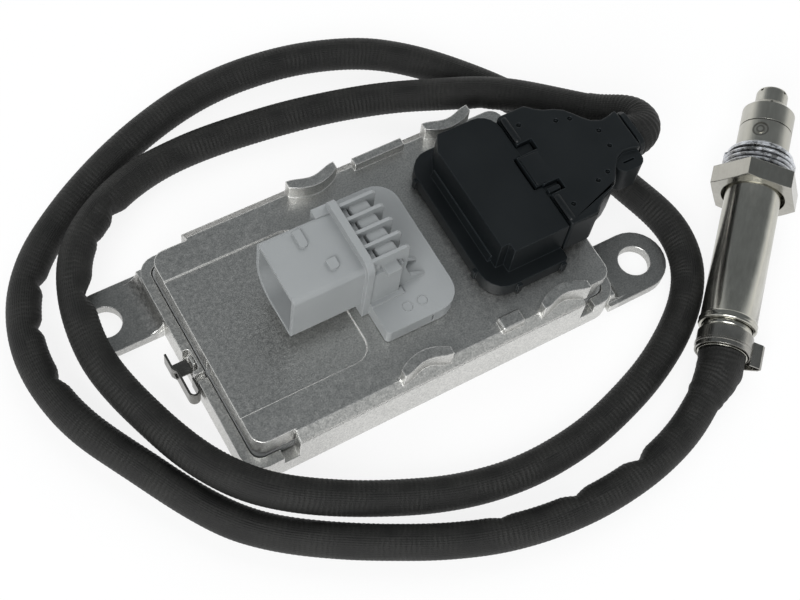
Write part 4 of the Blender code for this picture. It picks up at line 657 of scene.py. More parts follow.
@dataclass(frozen=True)
class SleeveFabric:
    """Rubberised textile sleeve: uneven cross ribs with a painted highlight on their crests, and a
    sparse weave, on a UV map in millimetres.
    """

    choice: Choice = Slot.SLEEVE
    dark: Triple = (0.0042, 0.0043, 0.0042)
    light: Triple = (0.021, 0.021, 0.0195)
    rib_pitch: float = 1.25
    rib_wander: float = 9.0
    thread_pitch: float = 0.6
    thread_wander: float = 4.0
    wander_scale: float = 0.16
    patch_scale: float = 0.11
    patch_range: Pair = (0.35, 0.62)
    fuzz_scale: float = 2.2
    fuzz_stretch: Triple = (1.0, 2.2, 1.0)
    tone_shares: Triple = (0.25, 0.35, 0.4)
    height_shares: Triple = (0.4, 0.15, 0.45)
    depth: float = 0.00036
    rough_low: float = 0.48
    rough_high: float = 0.66
    shine: float = 0.32

    def make(self) -> bpy.types.Material:
        """Builds the material.

        Returns:
            The material.
        """
        shader = new_material(self.choice.value)
        where = shader.place(uv=True)
        around, along = shader.parts(where, 0), shader.parts(where, 1)
        wander = shader.noise(where, self.wander_scale)
        patch = shader.noise(where, self.patch_scale, detail=2.0, rough=0.5)
        fuzz = shader.noise(shader.stretch(where, self.fuzz_stretch), self.fuzz_scale, rough=0.65)
        ribs = along.waves(self.rib_pitch, wander, self.rib_wander)
        ribs = ribs * patch.span(*self.patch_range)
        weave = around.waves(self.thread_pitch, wander, self.thread_wander)
        # Painted highlight: the ribs lighten the colour where they are raised
        tone = weighted(self.tone_shares, ribs, fuzz.span(*MIDDLE), patch.span(*MIDDLE))
        height = weighted(self.height_shares, ribs, weave, fuzz)
        return shader.surface(
            Base_Color=shader.blend(self.dark, self.light, tone),
            Roughness=fuzz.span(*MIDDLE, self.rough_low, self.rough_high),
            Specular_IOR_Level=self.shine,
            Normal=shader.bump(height, self.depth),
        )


@dataclass(frozen=True)
class GrainyPart:
    """A plain part of the unit: two close colours, a fine grain, metal or not."""

    choice: Choice
    dark: Triple
    light: Triple
    rough: float = 0.5
    metallic: float = 0.0
    grain_scale: float = 1500.0
    cloud_scale: float = 140.0
    tone_shares: Pair = (0.6, 0.4)
    depth: float = 0.00002
    strength: float = 0.6
    gloss_below: float = 0.06
    gloss_above: float = 0.08

    def make(self) -> bpy.types.Material:
        """Builds the material.

        Returns:
            The material.
        """
        shader = new_material(self.choice.value)
        where = shader.place()
        grain = shader.noise(where, self.grain_scale)
        cloud = shader.noise(where, self.cloud_scale)
        tone = weighted(self.tone_shares, cloud.span(*MIDDLE), grain.span(*MIDDLE))
        rough = grain.span(*MIDDLE, self.rough - self.gloss_below, self.rough + self.gloss_above)
        return shader.surface(
            Base_Color=shader.blend(self.dark, self.light, tone),
            Metallic=self.metallic,
            Roughness=rough,
            Normal=shader.bump(grain, self.depth, self.strength),
        )


@dataclass
class Finishes:
    """Every finish of the object, by its slot or its look."""

    weld_place: float = 0.0665
    thread_valley: float = 0.0092
    thread_crest: float = 0.00975
    made: dict[Choice, bpy.types.Material] = field(default_factory=dict)

    def build(self) -> None:
        """Makes the materials."""
        for finish in (
            CastMetal(),
            MouldedPlastic(Slot.PALE, (0.255, 0.268, 0.273), (0.285, 0.298, 0.303), rough=0.5),
            # The black plastic's edges are three times lighter: rubbed wear and a painted highlight
            MouldedPlastic(Slot.BLACK, (0.0054, 0.0070, 0.0080), (0.0074, 0.0094, 0.0106),
                           shine=0.27, edge_wear_and_highlight=3.0),
            MouldedPlastic(Slot.RUBBER, (0.012, 0.012, 0.0115), (0.02, 0.02, 0.019),
                           rough=0.6, skin_scale=1500.0, skin_depth=0.00004),
            TurnedSteel(Slot.STEEL),
            TurnedSteel(Look.WELDED, rough=0.32, spot_place=self.weld_place),
            TurnedSteel(Look.SATIN, rough=0.30, edge=0.0002),
            TurnedSteel(Look.HEXAGON, (0.37, 0.363, 0.33), (0.48, 0.472, 0.435), edge=0.0003),
            ThreadPaste(Look.THREAD, valley=self.thread_valley, crest=self.thread_crest),
            ThreadPaste(Look.SEAT),
            SpringSteel(Slot.SPRING),
            SpringSteel(Look.CLIP, (0.13, 0.13, 0.12), (0.24, 0.235, 0.22)),
            SleeveFabric(),
            GrainyPart(Slot.SEALANT, (0.17, 0.175, 0.175), (0.25, 0.255, 0.255)),
            GrainyPart(Slot.BOARD, (0.012, 0.10, 0.045), (0.02, 0.15, 0.07), rough=0.35),
            GrainyPart(Slot.CHIP, (0.016, 0.016, 0.017), (0.03, 0.03, 0.031)),
            GrainyPart(Slot.CAN, (0.5, 0.5, 0.5), (0.68, 0.68, 0.67), rough=0.3, metallic=1.0),
            GrainyPart(Slot.CONTACT, (0.6, 0.57, 0.5), (0.78, 0.75, 0.68), rough=0.25,
                       metallic=1.0),
            GrainyPart(Slot.CERAMIC, (0.74, 0.73, 0.69), (0.82, 0.81, 0.78), rough=0.4),
            GrainyPart(Slot.POWDER, (0.5, 0.48, 0.43), (0.62, 0.6, 0.55), rough=0.8),
        ):
            self.made[finish.choice] = finish.make()

    def dress_nodes(self, frame: dict) -> None:
        """Gives every CAD node the finish of its slot.

        Args:
            frame: the loaded frame.
        """
        parts = frame["record"]["subparts"]
        slots = {part["node"]: Slot(part["material_slot"]) for part in parts}
        for name, node in frame["nodes"].items():
            paint(node, self.made[slots[name]])

    def hand_over(self, piece: bpy.types.Object, body: Body, slot: Slot, *nodes: str,
                  look: Optional[Choice] = None) -> None:
        """Args:
            piece: the finished piece.
            body: the body that it rides on.
            slot: its material slot.
            nodes: the CAD nodes that it stands for.
            look: its finish, where that isn't the slot's own.
        """
        paint(piece, self.made[look or slot])
        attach(piece, body.value)
        if nodes:
            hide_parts(*nodes)
        LOG.info("piece %s rides on %s", piece.name, body.value)


# Modelling aids


def deselect_all() -> None:
    """Leaves nothing selected."""
    if bpy.context.object and bpy.context.object.mode != "OBJECT":
        bpy.ops.object.mode_set(mode="OBJECT")
    bpy.ops.object.select_all(action="DESELECT")


def pick(piece: bpy.types.Object) -> None:
    """Makes one object the only selected and the active one.

    Args:
        piece: the object.
    """
    deselect_all()
    piece.select_set(True)
    bpy.context.view_layer.objects.active = piece


def settle(piece: bpy.types.Object, frame: Optional[Matrix] = None) -> None:
    """Applies a piece's place, turn and scale to its mesh, after moving it into a frame.

    Args:
        piece: the piece.
        frame: where the piece's own axes go.
    """
    if frame is not None:
        piece.matrix_world = frame @ piece.matrix_world
    pick(piece)
    bpy.ops.object.transform_apply(location=True, rotation=True, scale=True)


def apply_modifier(piece: bpy.types.Object, kind: str, **settings: object) -> None:
    """Adds a modifier and applies it.

    Args:
        piece: the piece.
        kind: the modifier's type.
        settings: its properties by name.
    """
    pick(piece)
    modifier = piece.modifiers.new(kind.lower(), kind)
    for name, value in settings.items():
        setattr(modifier, name, value)
    bpy.ops.object.modifier_apply(modifier=modifier.name)


def in_edit_mode(piece: bpy.types.Object, work: Callable[[], None], mode: str = "FACE") -> None:
    """Runs mesh operators on a piece in edit mode.

    Args:
        piece: the mesh to edit.
        work: a function that calls the operators.
        mode: the selection mode.
    """
    pick(piece)
    bpy.ops.object.mode_set(mode="EDIT")
    bpy.ops.mesh.select_mode(type=mode)
    work()
    bpy.ops.object.mode_set(mode="OBJECT")


def select_points(piece: bpy.types.Object, test: Callable[[Vector], bool]) -> None:
    """Selects the points of the mesh in edit mode for which the test holds.

    Args:
        piece: the mesh in edit mode.
        test: takes a point's place.
    """
    bpy.ops.mesh.select_all(action="DESELECT")
    shape = bmesh.from_edit_mesh(piece.data)
    for point in shape.verts:
        point.select = test(point.co)
    shape.select_flush(True)
    bmesh.update_edit_mesh(piece.data)


def close_seams(piece: bpy.types.Object, merge: float) -> None:
    """Merges a mesh's doubles and turns its faces outwards.

    Args:
        piece: the mesh.
        merge: the distance within which points are joined.
    """

    def work() -> None:
        """Merges, then recalculates."""
        bpy.ops.mesh.select_all(action="SELECT")
        bpy.ops.mesh.remove_doubles(threshold=merge)
        bpy.ops.mesh.normals_make_consistent(inside=False)

    in_edit_mode(piece, work)


def soften(piece: bpy.types.Object, width: float = 0.0) -> None:
    """Shades a piece smooth between its sharp edges, with its flat faces kept flat.

    Args:
        piece: the piece.
        width: the width to which its sharp edges are rounded, or 0 where the finish rounds them.
    """
    if width:
        apply_modifier(piece, "BEVEL", width=width, segments=2, limit_method="ANGLE",
                       angle_limit=math.radians(SHARP_ANGLE), use_clamp_overlap=False)
    weigh_normals(piece, math.radians(ROUND_ANGLE if width else SHARP_ANGLE))


def smooth(piece: bpy.types.Object, angle: float = ROUND_ANGLE) -> None:
    """Shades a piece smooth up to an angle."""
    pick(piece)
    bpy.ops.object.shade_smooth_by_angle(angle=math.radians(angle))


def flat_regions(shape: bmesh.types.BMesh) -> tuple[list[int], list[float], list[Vector]]:
    """Groups the faces of a mesh that lie in one plane and touch.

    Args:
        shape: the mesh, with its face table up to date.

    Returns:
        The region of each face, and the area and the normal of each region.
    """
    limit = math.radians(FLAT_ANGLE)
    region_of = [-1] * len(shape.faces)
    areas: list[float] = []
    normals: list[Vector] = []
    for first in shape.faces:
        if region_of[first.index] >= 0:
            continue
        region, area, total = len(areas), 0.0, Vector()
        region_of[first.index] = region
        waiting = [first]
        while waiting:
            face = waiting.pop()
            size = face.calc_area()
            area += size
            total += face.normal * size
            for edge in face.edges:
                for other in edge.link_faces:
                    if region_of[other.index] < 0 and edge.calc_face_angle(math.pi) < limit:
                        region_of[other.index] = region
                        waiting.append(other)
        areas.append(area)
        normals.append(total.normalized() if total.length > 0.0 else first.normal.copy())
    return region_of, areas, normals


def smooth_fans(point: bmesh.types.BMVert) -> list[list[bmesh.types.BMFace]]:
    """Groups the faces round a point that no sharp edge parts.

    Args:
        point: the point.

    Returns:
        The groups.
    """
    left = set(point.link_faces)
    fans = []
    while left:
        fan = [left.pop()]
        for face in fan:
            for edge in face.edges:
                if edge.smooth and point in edge.verts:
                    for other in edge.link_faces:
                        if other in left:
                            left.discard(other)
                            fan.append(other)
        fans.append(fan)
    return fans


def weigh_normals(piece: bpy.types.Object, angle: float) -> None:
    """Shades a piece smooth with normals that its large flat faces decide, so that these stay flat.

    Args:
        piece: the piece.
        angle: the least angle of a sharp edge, in radians.
    """
    shape = bmesh.new()
    shape.from_mesh(piece.data)
    shape.faces.ensure_lookup_table()
    for edge in shape.edges:
        edge.smooth = edge.calc_face_angle(math.pi) < angle
    for face in shape.faces:
        face.smooth = True
    region_of, areas, normals = flat_regions(shape)
    bent: dict[int, Vector] = {}
    for point in shape.verts:
        for fan in smooth_fans(point):
            sides = {region_of[face.index] for face in fan}
            normal = sum((normals[side] * areas[side] ** 2 for side in sides), Vector())
            normal = normal.normalized() if normal.length > 0.0 else fan[0].normal.copy()
            for face in fan:
                for loop in face.loops:
                    if loop.vert is point:
                        bent[loop.index] = normal
    shape.to_mesh(piece.data)
    shape.free()
    piece.data.normals_split_custom_set([bent[index] for index in range(len(bent))])


def paint(piece: bpy.types.Object, material: bpy.types.Material) -> None:
    """Gives a piece one material."""
    piece.data.materials.clear()
    piece.data.materials.append(material)


def clean_copy(frame: dict, node: str, name: str, merge: float = COPY_MERGE,
               flat: float = 0.0) -> bpy.types.Object:
    """Copies a CAD node's mesh as one closed surface.

    Args:
        frame: the loaded frame.
        node: the CAD node.
        name: the copy's name.
        merge: the distance within which points are joined.
        flat: the angle in degrees up to which neighbouring faces become one, or 0 to keep them.

    Returns:
        The copy.
    """
    source = frame["nodes"][node]
    piece = bpy.data.objects.new(name, source.data.copy())
    piece.data.name = name
    bpy.context.scene.collection.objects.link(piece)
    pick(piece)
    bpy.ops.mesh.customdata_custom_splitnormals_clear()

    def work() -> None:
        """Joins the loose triangles."""
        bpy.ops.mesh.select_all(action="SELECT")
        bpy.ops.mesh.remove_doubles(threshold=merge)
        if flat:
            bpy.ops.mesh.dissolve_limited(angle_limit=math.radians(flat))

    in_edit_mode(piece, work)
    return piece


def join(name: str, first: bpy.types.Object, *others: bpy.types.Object) -> bpy.types.Object:
    """Joins meshes into one.

    Args:
        name: the name of the joined piece.
        first: the mesh that keeps its place and frame.
        others: the meshes that join it.

    Returns:
        The joined piece.
    """
    pick(first)
    for other in others:
        other.select_set(True)
    bpy.ops.object.join()
    first.name = name
    return first


def rounded_box(name: str, low: Triple, high: Triple, radius: float,
                segments: int = 3) -> bpy.types.Object:
    """A box with rounded edges between two corners.

    Args:
        name: the piece's name.
        low: its lowest corner.
        high: its highest corner.
        radius: the rounding of its edges.
        segments: the faces across each edge.

    Returns:
        The box.
    """
    deselect_all()
    middle = tuple((a + b) / 2 for a, b in zip(low, high))
    bpy.ops.mesh.primitive_cube_add(size=1.0, location=middle)
    box = bpy.context.active_object
    box.name = name
    box.scale = tuple(b - a for a, b in zip(low, high))
    settle(box)

    def work() -> None:
        """Rounds every edge."""
        bpy.ops.mesh.select_all(action="SELECT")
        bpy.ops.mesh.bevel(offset=radius, segments=segments, affect="EDGES")

    in_edit_mode(box, work, "EDGE")
    smooth(box)
    return box


def turned(name: str, profile: Profile, sides: int) -> bpy.types.Object:
    """A turned piece about Z, made by drawing a circle out through its profile.

    Args:
        name: the piece's name.
        profile: (radius, height) points that close on themselves.
        sides: the faces round it.

    Returns:
        The piece, unturned, at the origin.
    """
    deselect_all()
    bpy.ops.mesh.primitive_circle_add(vertices=sides, radius=profile[0][0])
    piece = bpy.context.active_object
    piece.name = name

    def work() -> None:
        """Draws the circle from point to point."""
        bpy.ops.mesh.select_all(action="SELECT")
        bpy.ops.transform.translate(value=(0.0, 0.0, profile[0][1]))
        radius, height = profile[0]
        for new_radius, new_height in (*profile[1:], profile[0]):
            step = (0.0, 0.0, new_height - height)
            bpy.ops.mesh.extrude_edges_move(TRANSFORM_OT_translate={"value": step})
            grow = (new_radius / radius, new_radius / radius, 1.0)
            bpy.ops.transform.resize(value=grow, center_override=(0.0, 0.0, new_height))
            radius, height = new_radius, new_height

    in_edit_mode(piece, work, "EDGE")
    close_seams(piece, TURNED_MERGE)
    smooth(piece)
    return piece


# The studio


@dataclass(frozen=True)
class Lamp:
    """A soft square lamp that faces the object: its side in metres, its power in watts."""

    name: str
    place: Triple
    size: float
    power: float
    mirrored: bool

    def build(self) -> None:
        """Hangs the lamp, and hides it from mirrors where it isn't to be mirrored."""
        data = bpy.data.lights.new(self.name, "AREA")
        data.shape = "SQUARE"
        data.size = self.size
        data.energy = self.power
        lamp = bpy.data.objects.new(self.name, data)
        bpy.context.scene.collection.objects.link(lamp)
        lamp.location = self.place
        lamp.rotation_euler = (-Vector(self.place)).to_track_quat("-Z", "Y").to_euler()
        lamp.visible_glossy = self.mirrored


@dataclass
class Studio:
    """Floor, lamps, world and camera."""

    floor_size: float = 6.0
    floor_colour: Triple = (0.9, 0.9, 0.9)
    floor_glow: float = 0.86
    glow_colour: Triple = (1.0, 1.0, 1.0)
    horizon: float = 1.15
    horizon_colour: Triple = (1.0, 0.99, 0.96)
    zenith: float = 0.205
    zenith_colour: Triple = (0.91, 0.965, 1.0)
    climb_start: float = 0.07
    climb_end: float = 0.48
    camera_place: Triple = (-0.12073, -0.15026, 0.35805)
    camera_right: Triple = (0.86205, -0.49691, 0.09974)
    camera_down: Triple = (-0.40157, -0.78974, -0.46374)
    camera_forward: Triple = (0.30921, 0.35971, -0.88034)
    lens: float = 68.3
    sensor_width: float = 36.0
    nearest: float = 0.01
    farthest: float = 50.0
    lamps: tuple[Lamp, ...] = (
        Lamp("key_lamp", (-0.85, -0.70, 0.90), 0.9, 17.0, True),
        Lamp("fill_lamp", (0.75, 0.55, 0.95), 1.3, 13.0, False),
    )

    def build(self) -> None:
        """Makes everything that isn't part of the object."""
        self.add_camera()
        self.add_floor()
        self.add_world()
        for lamp in self.lamps:
            lamp.build()
        bpy.context.scene.view_settings.view_transform = "Standard"

    def add_camera(self) -> None:
        """Sets the camera where the photograph was taken from."""
        data = bpy.data.cameras.new("camera")
        data.lens = self.lens
        data.sensor_width = self.sensor_width
        data.clip_start = self.nearest
        data.clip_end = self.farthest
        camera = bpy.data.objects.new("camera", data)
        bpy.context.scene.collection.objects.link(camera)
        right = Vector(self.camera_right)
        up = -Vector(self.camera_down)
        back = -Vector(self.camera_forward)
        turn = Matrix((right, up, back)).transposed()
        camera.matrix_world = Matrix.Translation(self.camera_place) @ turn.to_4x4()
        bpy.context.scene.camera = camera

    def add_floor(self) -> None:
        """Lays the pale floor, which looks white but keeps the object's shadow."""
        deselect_all()
        bpy.ops.mesh.primitive_plane_add(size=self.floor_size, location=(0.0, 0.0, 0.0))
        floor = bpy.context.active_object
        floor.name = "floor"
        shader = new_material("pale_floor")
        matt = shader.node("ShaderNodeBsdfDiffuse", None, {"Color": (*self.floor_colour, 1.0)})
        glow = shader.node("ShaderNodeEmission", None,
                           {"Color": (*self.glow_colour, 1.0), "Strength": 1.0})
        seen = shader.node("ShaderNodeLightPath", output="Is Camera Ray")
        for ray in ("Is Glossy Ray", "Is Transmission Ray"):
            seen = seen + shader.node("ShaderNodeLightPath", output=ray)
        share = seen.at_most(1.0) * self.floor_glow
        shader.close(shader.node("ShaderNodeMixShader", None, {0: share, 1: matt, 2: glow}))
        paint(floor, shader.owner)

    def add_world(self) -> None:
        """Makes a sky that is white at the horizon and darker overhead."""
        shader = Shader(bpy.data.worlds.new("sky"))
        height = shader.parts(shader.node("ShaderNodeTexCoord", output="Generated"), 2)
        climb = height.span(self.climb_start, self.climb_end)
        level = climb.span(0.0, 1.0, self.horizon, self.zenith)
        colour = shader.blend(self.horizon_colour, self.zenith_colour, climb)
        sky = shader.node("ShaderNodeBackground", None, {"Color": colour, "Strength": level})
        shader.close(sky, "ShaderNodeOutputWorld")
        bpy.context.scene.world = shader.owner


# The cable


CABLE_ROUTE = (
    (0.0751, 0.0172, 0.0171), (0.0692, 0.0234, 0.0158), (0.0570, 0.0345, 0.0140),
    (0.0440, 0.0437, 0.0100), (0.0290, 0.0520, 0.0062), (0.0090, 0.0575, 0.0050),
    (-0.0170, 0.0605, 0.0050), (-0.0380, 0.0588, 0.0068), (-0.0550, 0.0515, 0.0096),
    (-0.0665, 0.0420, 0.0098), (-0.0725, 0.0290, 0.0088), (-0.0742, 0.0120, 0.0082),
    (-0.0700, -0.0070, 0.0084), (-0.0638, -0.0242, 0.0101), (-0.0532, -0.0388, 0.0113),
    (-0.0400, -0.0472, 0.0090), (-0.0240, -0.0545, 0.0062), (-0.0030, -0.0612, 0.0050),
    (0.0210, -0.0623, 0.0048), (0.0450, -0.0567, 0.0048), (0.0660, -0.0462, 0.0048),
    (0.0786, -0.0330, 0.0048), (0.0818, -0.0200, 0.0048), (0.0786, -0.0050, 0.0048),
    (0.0745, 0.0110, 0.0048), (0.0690, 0.0280, 0.0048), (0.0560, 0.0485, 0.0048),
    (0.0370, 0.0665, 0.0048), (0.0120, 0.0756, 0.0048), (-0.0140, 0.0765, 0.0048),
    (-0.0400, 0.0695, 0.0048), (-0.0642, 0.0570, 0.0048), (-0.0810, 0.0420, 0.0048),
    (-0.0880, 0.0230, 0.0048), (-0.0860, 0.0030, 0.0048), (-0.0770, -0.0165, 0.0048),
    (-0.0624, -0.0408, 0.0048), (-0.0385, -0.0590, 0.0048), (-0.0120, -0.0721, 0.0048),
    (0.0202, -0.0777, 0.0048), (0.0430, -0.0748, 0.0050), (0.0525, -0.0714, 0.0052),
    (0.0600, -0.0674, 0.0060),
)
SLEEVE_ROUTE = (
    (0.0758, 0.0002, 0.0260), (0.0774, 0.0002, 0.0260), (0.0808, 0.0016, 0.0254),
    (0.0828, 0.0050, 0.0240), (0.0822, 0.0090, 0.0219), (0.0800, 0.0122, 0.0197),
    (0.0773, 0.0150, 0.0180), (0.0755, 0.0168, 0.0173),
)


def distances(path: Sequence[Vector]) -> list[float]:
    """How far along a path each of its points lies.

    Args:
        path: the points in order.

    Returns:
        The distance of each point from the first.
    """
    travelled = [0.0]
    for here, there in zip(path, path[1:]):
        travelled.append(travelled[-1] + (there - here).length)
    return travelled


def natural_spline(points: Sequence[Triple], spacing: float) -> list[Vector]:
    """Draws a natural cubic spline through points, timed by their distances.

    Args:
        points: the points to pass.
        spacing: the distance between the points returned.

    Returns:
        Points along the curve, both ends included.
    """
    knots = [Vector(p) for p in points]
    times = distances(knots)
    steps = [b - a for a, b in zip(times, times[1:])]
    last = len(knots) - 1
    curve = [Vector() for _ in knots]
    lower = [0.0] * (last + 1)
    carry = [Vector() for _ in knots]
    for i in range(1, last):
        ahead = (knots[i + 1] - knots[i]) / steps[i]
        behind = (knots[i] - knots[i - 1]) / steps[i - 1]
        rhs = 3.0 * (ahead - behind)
        pivot = 2.0 * (times[i + 1] - times[i - 1]) - steps[i - 1] * lower[i - 1]
        lower[i] = steps[i] / pivot
        carry[i] = (rhs - steps[i - 1] * carry[i - 1]) / pivot
    for i in range(last - 1, 0, -1):
        curve[i] = carry[i] - lower[i] * curve[i + 1]
    count = max(2, round(times[-1] / spacing))
    path = []
    span = 0
    for k in range(count + 1):
        time = times[-1] * k / count
        while span < last - 1 and time > times[span + 1]:
            span += 1
        here, there, step = curve[span], curve[span + 1], steps[span]
        part = time - times[span]
        slope = (knots[span + 1] - knots[span]) / step - step * (2.0 * here + there) / 3.0
        cubic = (there - here) / (3.0 * step)
        path.append(knots[span] + slope * part + here * part ** 2 + cubic * part ** 3)
    return path


def sweep(name: str, path: Sequence[Vector], radius: Callable[[float, Vector, Vector], float],
          sides: int) -> bpy.types.Object:
    """Makes a closed tube along a path, with a UV map in millimetres.

    Args:
        name: the piece's name.
        path: the centreline.
        radius: gives the radius from the distance along it, the centre and the direction outwards.
        sides: faces round the tube.

    Returns:
        The tube.
    """
    mesh = bmesh.new()
    uv = mesh.loops.layers.uv.new("sleeve")
    rings = []
    travelled = distances(path)
    side = Vector((0.0, 0.0, 1.0))
    for index, point in enumerate(path):
        ahead = path[min(index + 1, len(path) - 1)]
        behind = path[max(index - 1, 0)]
        along = (ahead - behind).normalized()
        side = (side - along * side.dot(along)).normalized()
        other = along.cross(side)
        ring = []
        for k in range(sides):
            angle = 2.0 * math.pi * k / sides
            out = side * math.cos(angle) + other * math.sin(angle)
            ring.append(mesh.verts.new(point + out * radius(travelled[index], point, out)))
        rings.append(ring)
    for index, (ring, after) in enumerate(zip(rings, rings[1:])):
        for k in range(sides):
            step = (k + 1) % sides
            face = mesh.faces.new((ring[k], ring[step], after[step], after[k]))
            places = ((k, index), (k + 1, index), (k + 1, index + 1), (k, index + 1))
            for loop, (turn, row) in zip(face.loops, places):
                loop[uv].uv = (CABLE_GIRTH * turn / sides / MM, travelled[row] / MM)
            face.smooth = True
    for ring, flip in ((rings[0], True), (rings[-1], False)):
        mesh.faces.new(tuple(reversed(ring)) if flip else tuple(ring))
    data = bpy.data.meshes.new(name)
    mesh.to_mesh(data)
    mesh.free()
    piece = bpy.data.objects.new(name, data)
    bpy.context.scene.collection.objects.link(piece)
    return piece


def chance(place: Vector) -> float:
    """Noise between 0 and 1 at a place."""
    return 0.5 + 0.5 * noise.noise(place)


@dataclass
class CableRun:
    """The sleeved cable, the pleated bend sleeve at the plug and the wrinkled boot at the probe."""

    sides: int = 32
    fine_sides: int = 48
    spacing: float = 0.0004
    fine_spacing: float = 0.00025
    stated_step: int = 20
    overlap: int = 6
    sunk: float = 0.00025
    sunk_length: float = 0.001

    rib_pitch: float = 0.00125
    rib_depth: float = 0.00005
    rib_wander: float = 5.0
    wander_scale: float = 60.0
    inner_rib_depth: float = 0.00016
    inner_rib_power: float = 2.0
    uneven_scale: float = 110.0
    uneven_turn: float = 0.8
    swell_depth: float = 0.0003
    swell_length: float = 0.016
    swell_turn: float = 0.6
    crease_profile: float = 1.6
    crease_turn: float = 1.4
    # Distance along the cable, depth and half length of each crease on its inner side
    creases: tuple[Triple, ...] = (
        (0.0300, 0.0006, 0.0040),
        (0.1455, 0.0022, 0.0042),
        (0.1560, 0.0008, 0.0030),
        (0.1735, 0.0026, 0.0060),
        (0.6390, 0.0018, 0.0036),
        (0.6530, 0.0016, 0.0034),
        (0.6700, 0.0014, 0.0040),
        (0.7960, 0.0007, 0.0040),
        (0.8170, 0.0013, 0.0045),
        (0.8375, 0.0020, 0.0048),
    )

    mouth_radius: float = 0.0060
    mouth_length: float = 0.0096
    pleat_pitch: float = 0.00115
    pleat_depth: float = 0.00034
    pleat_least: float = 0.3
    pleat_wander: float = 3.0
    pleat_wander_scale: float = 150.0
    pleat_uneven: Pair = (0.55, 0.45)
    pleat_uneven_scale: float = 260.0
    pleat_uneven_turn: float = 1.5
    pleat_fade: float = 0.006
    sleeve_length: float = field(default=0.0, init=False)

    boot_radius: float = 0.0064
    boot_full: float = 0.67
    boot_power: float = 0.9
    boot_gap: float = 0.0006
    boot_entry: float = -0.0003
    boot_begin: float = 0.0012
    wrinkle_depth: float = 0.0005
    wrinkle_scale: float = 620.0
    wrinkle_turn: float = 1.2
    wrinkle_soft: float = 0.3
    wrinkle_soft_scale: float = 160.0
    calm_length: float = 0.002
    calm_least: float = 0.15
    boot_length: float = field(default=0.0, init=False)

    def build(self, finishes: Finishes) -> None:
        """Args:
            finishes: the object's finishes.
        """
        path = natural_spline(CABLE_ROUTE, self.spacing)
        cable = sweep("sleeved_cable", path, self.cable_radius, self.sides)
        bend = natural_spline(SLEEVE_ROUTE, self.fine_spacing)
        self.sleeve_length = distances(bend)[-1]
        sleeve = sweep("pleated_bend_sleeve", bend + path[:self.overlap], self.sleeve_radius,
                       self.fine_sides)
        boot_path = path[-self.overlap:] + self.boot_path()
        self.boot_length = distances(boot_path)[-1]
        boot = sweep("wrinkled_boot", boot_path, self.boot_shape, self.fine_sides)
        finishes.hand_over(cable, Body.SENSOR, Slot.SLEEVE, "cable")
        finishes.hand_over(sleeve, Body.SENSOR, Slot.SLEEVE, "bend_sleeve")
        finishes.hand_over(boot, Body.SENSOR, Slot.RUBBER, "cable_boot", look=Slot.SLEEVE)
        round(distances(path)[-1], 3)

    def boot_path(self) -> list[Vector]:
        """The boot's centreline.

        Returns:
            Points from the cable's end into the probe.
        """
        frame = probe_frame()
        start = Vector(CABLE_ROUTE[-1])
        along = (start - Vector(CABLE_ROUTE[-2])).normalized()
        entry = frame @ Vector((0.0, 0.0, self.boot_entry))
        into = frame.to_3x3() @ Vector((0.0, 0.0, 1.0))
        first = start + along * self.boot_gap
        third = (entry - first).length / 3
        knots = (first, first + along * third, entry - into * third, entry)
        return natural_spline([tuple(k) for k in knots], self.fine_spacing)

    @staticmethod
    def inwards(centre: Vector, out: Vector) -> float:
        """How far a direction points to the middle of the loops, from 0 to 1."""
        home = Vector((-centre.x, -centre.y, 0.0)).normalized()
        return max(0.0, out.dot(home))

    def cable_radius(self, distance: float, centre: Vector, out: Vector) -> float:
        """The cable's radius with its ribs, swells and creases.

        Args:
            distance: the distance along the centreline.
            centre: the point of the centreline.
            out: the direction outwards.

        Returns:
            The radius.
        """
        inner = self.inwards(centre, out)
        uneven = chance(centre * self.uneven_scale + out * self.uneven_turn)
        wander = self.rib_wander * noise.noise(centre * self.wander_scale)
        wave = 0.5 + 0.5 * math.sin(2.0 * math.pi * distance / self.rib_pitch + wander)
        depth = self.rib_depth + self.inner_rib_depth * inner ** self.inner_rib_power * uneven
        swell = self.swell_depth * chance(centre / self.swell_length + out * self.swell_turn)
        fold = 0.0
        for place, deep, half in self.creases:
            off = abs(distance - place) / half
            if off < 1.0:
                fold += deep * (1.0 - off) ** self.crease_profile * inner ** self.crease_turn
        return CABLE_RADIUS - wave * depth - swell - fold

    def sleeve_radius(self, distance: float, centre: Vector, out: Vector) -> float:
        """The bend sleeve's radius: a wide pleated mouth that narrows to the cable.

        Args:
            distance: the distance along the centreline.
            centre: the point of the centreline.
            out: the direction outwards.

        Returns:
            The radius.
        """
        flare = max(0.0, 1.0 - distance / self.mouth_length)
        base = CABLE_RADIUS + (self.mouth_radius - CABLE_RADIUS) * flare
        wander = self.pleat_wander * noise.noise(centre * self.pleat_wander_scale)
        wave = 0.5 - 0.5 * math.cos(2.0 * math.pi * distance / self.pleat_pitch + wander)
        even, spread = self.pleat_uneven
        place = centre * self.pleat_uneven_scale + out * self.pleat_uneven_turn
        uneven = even + spread * noise.noise(place)
        fade = max(0.0, min(1.0, (self.sleeve_length - distance) / self.pleat_fade))
        share = self.pleat_least + (1.0 - self.pleat_least) * fade
        past = max(0.0, distance - self.sleeve_length)
        return base - self.pleat_depth * wave * uneven * share - self.sunk * past / self.sunk_length

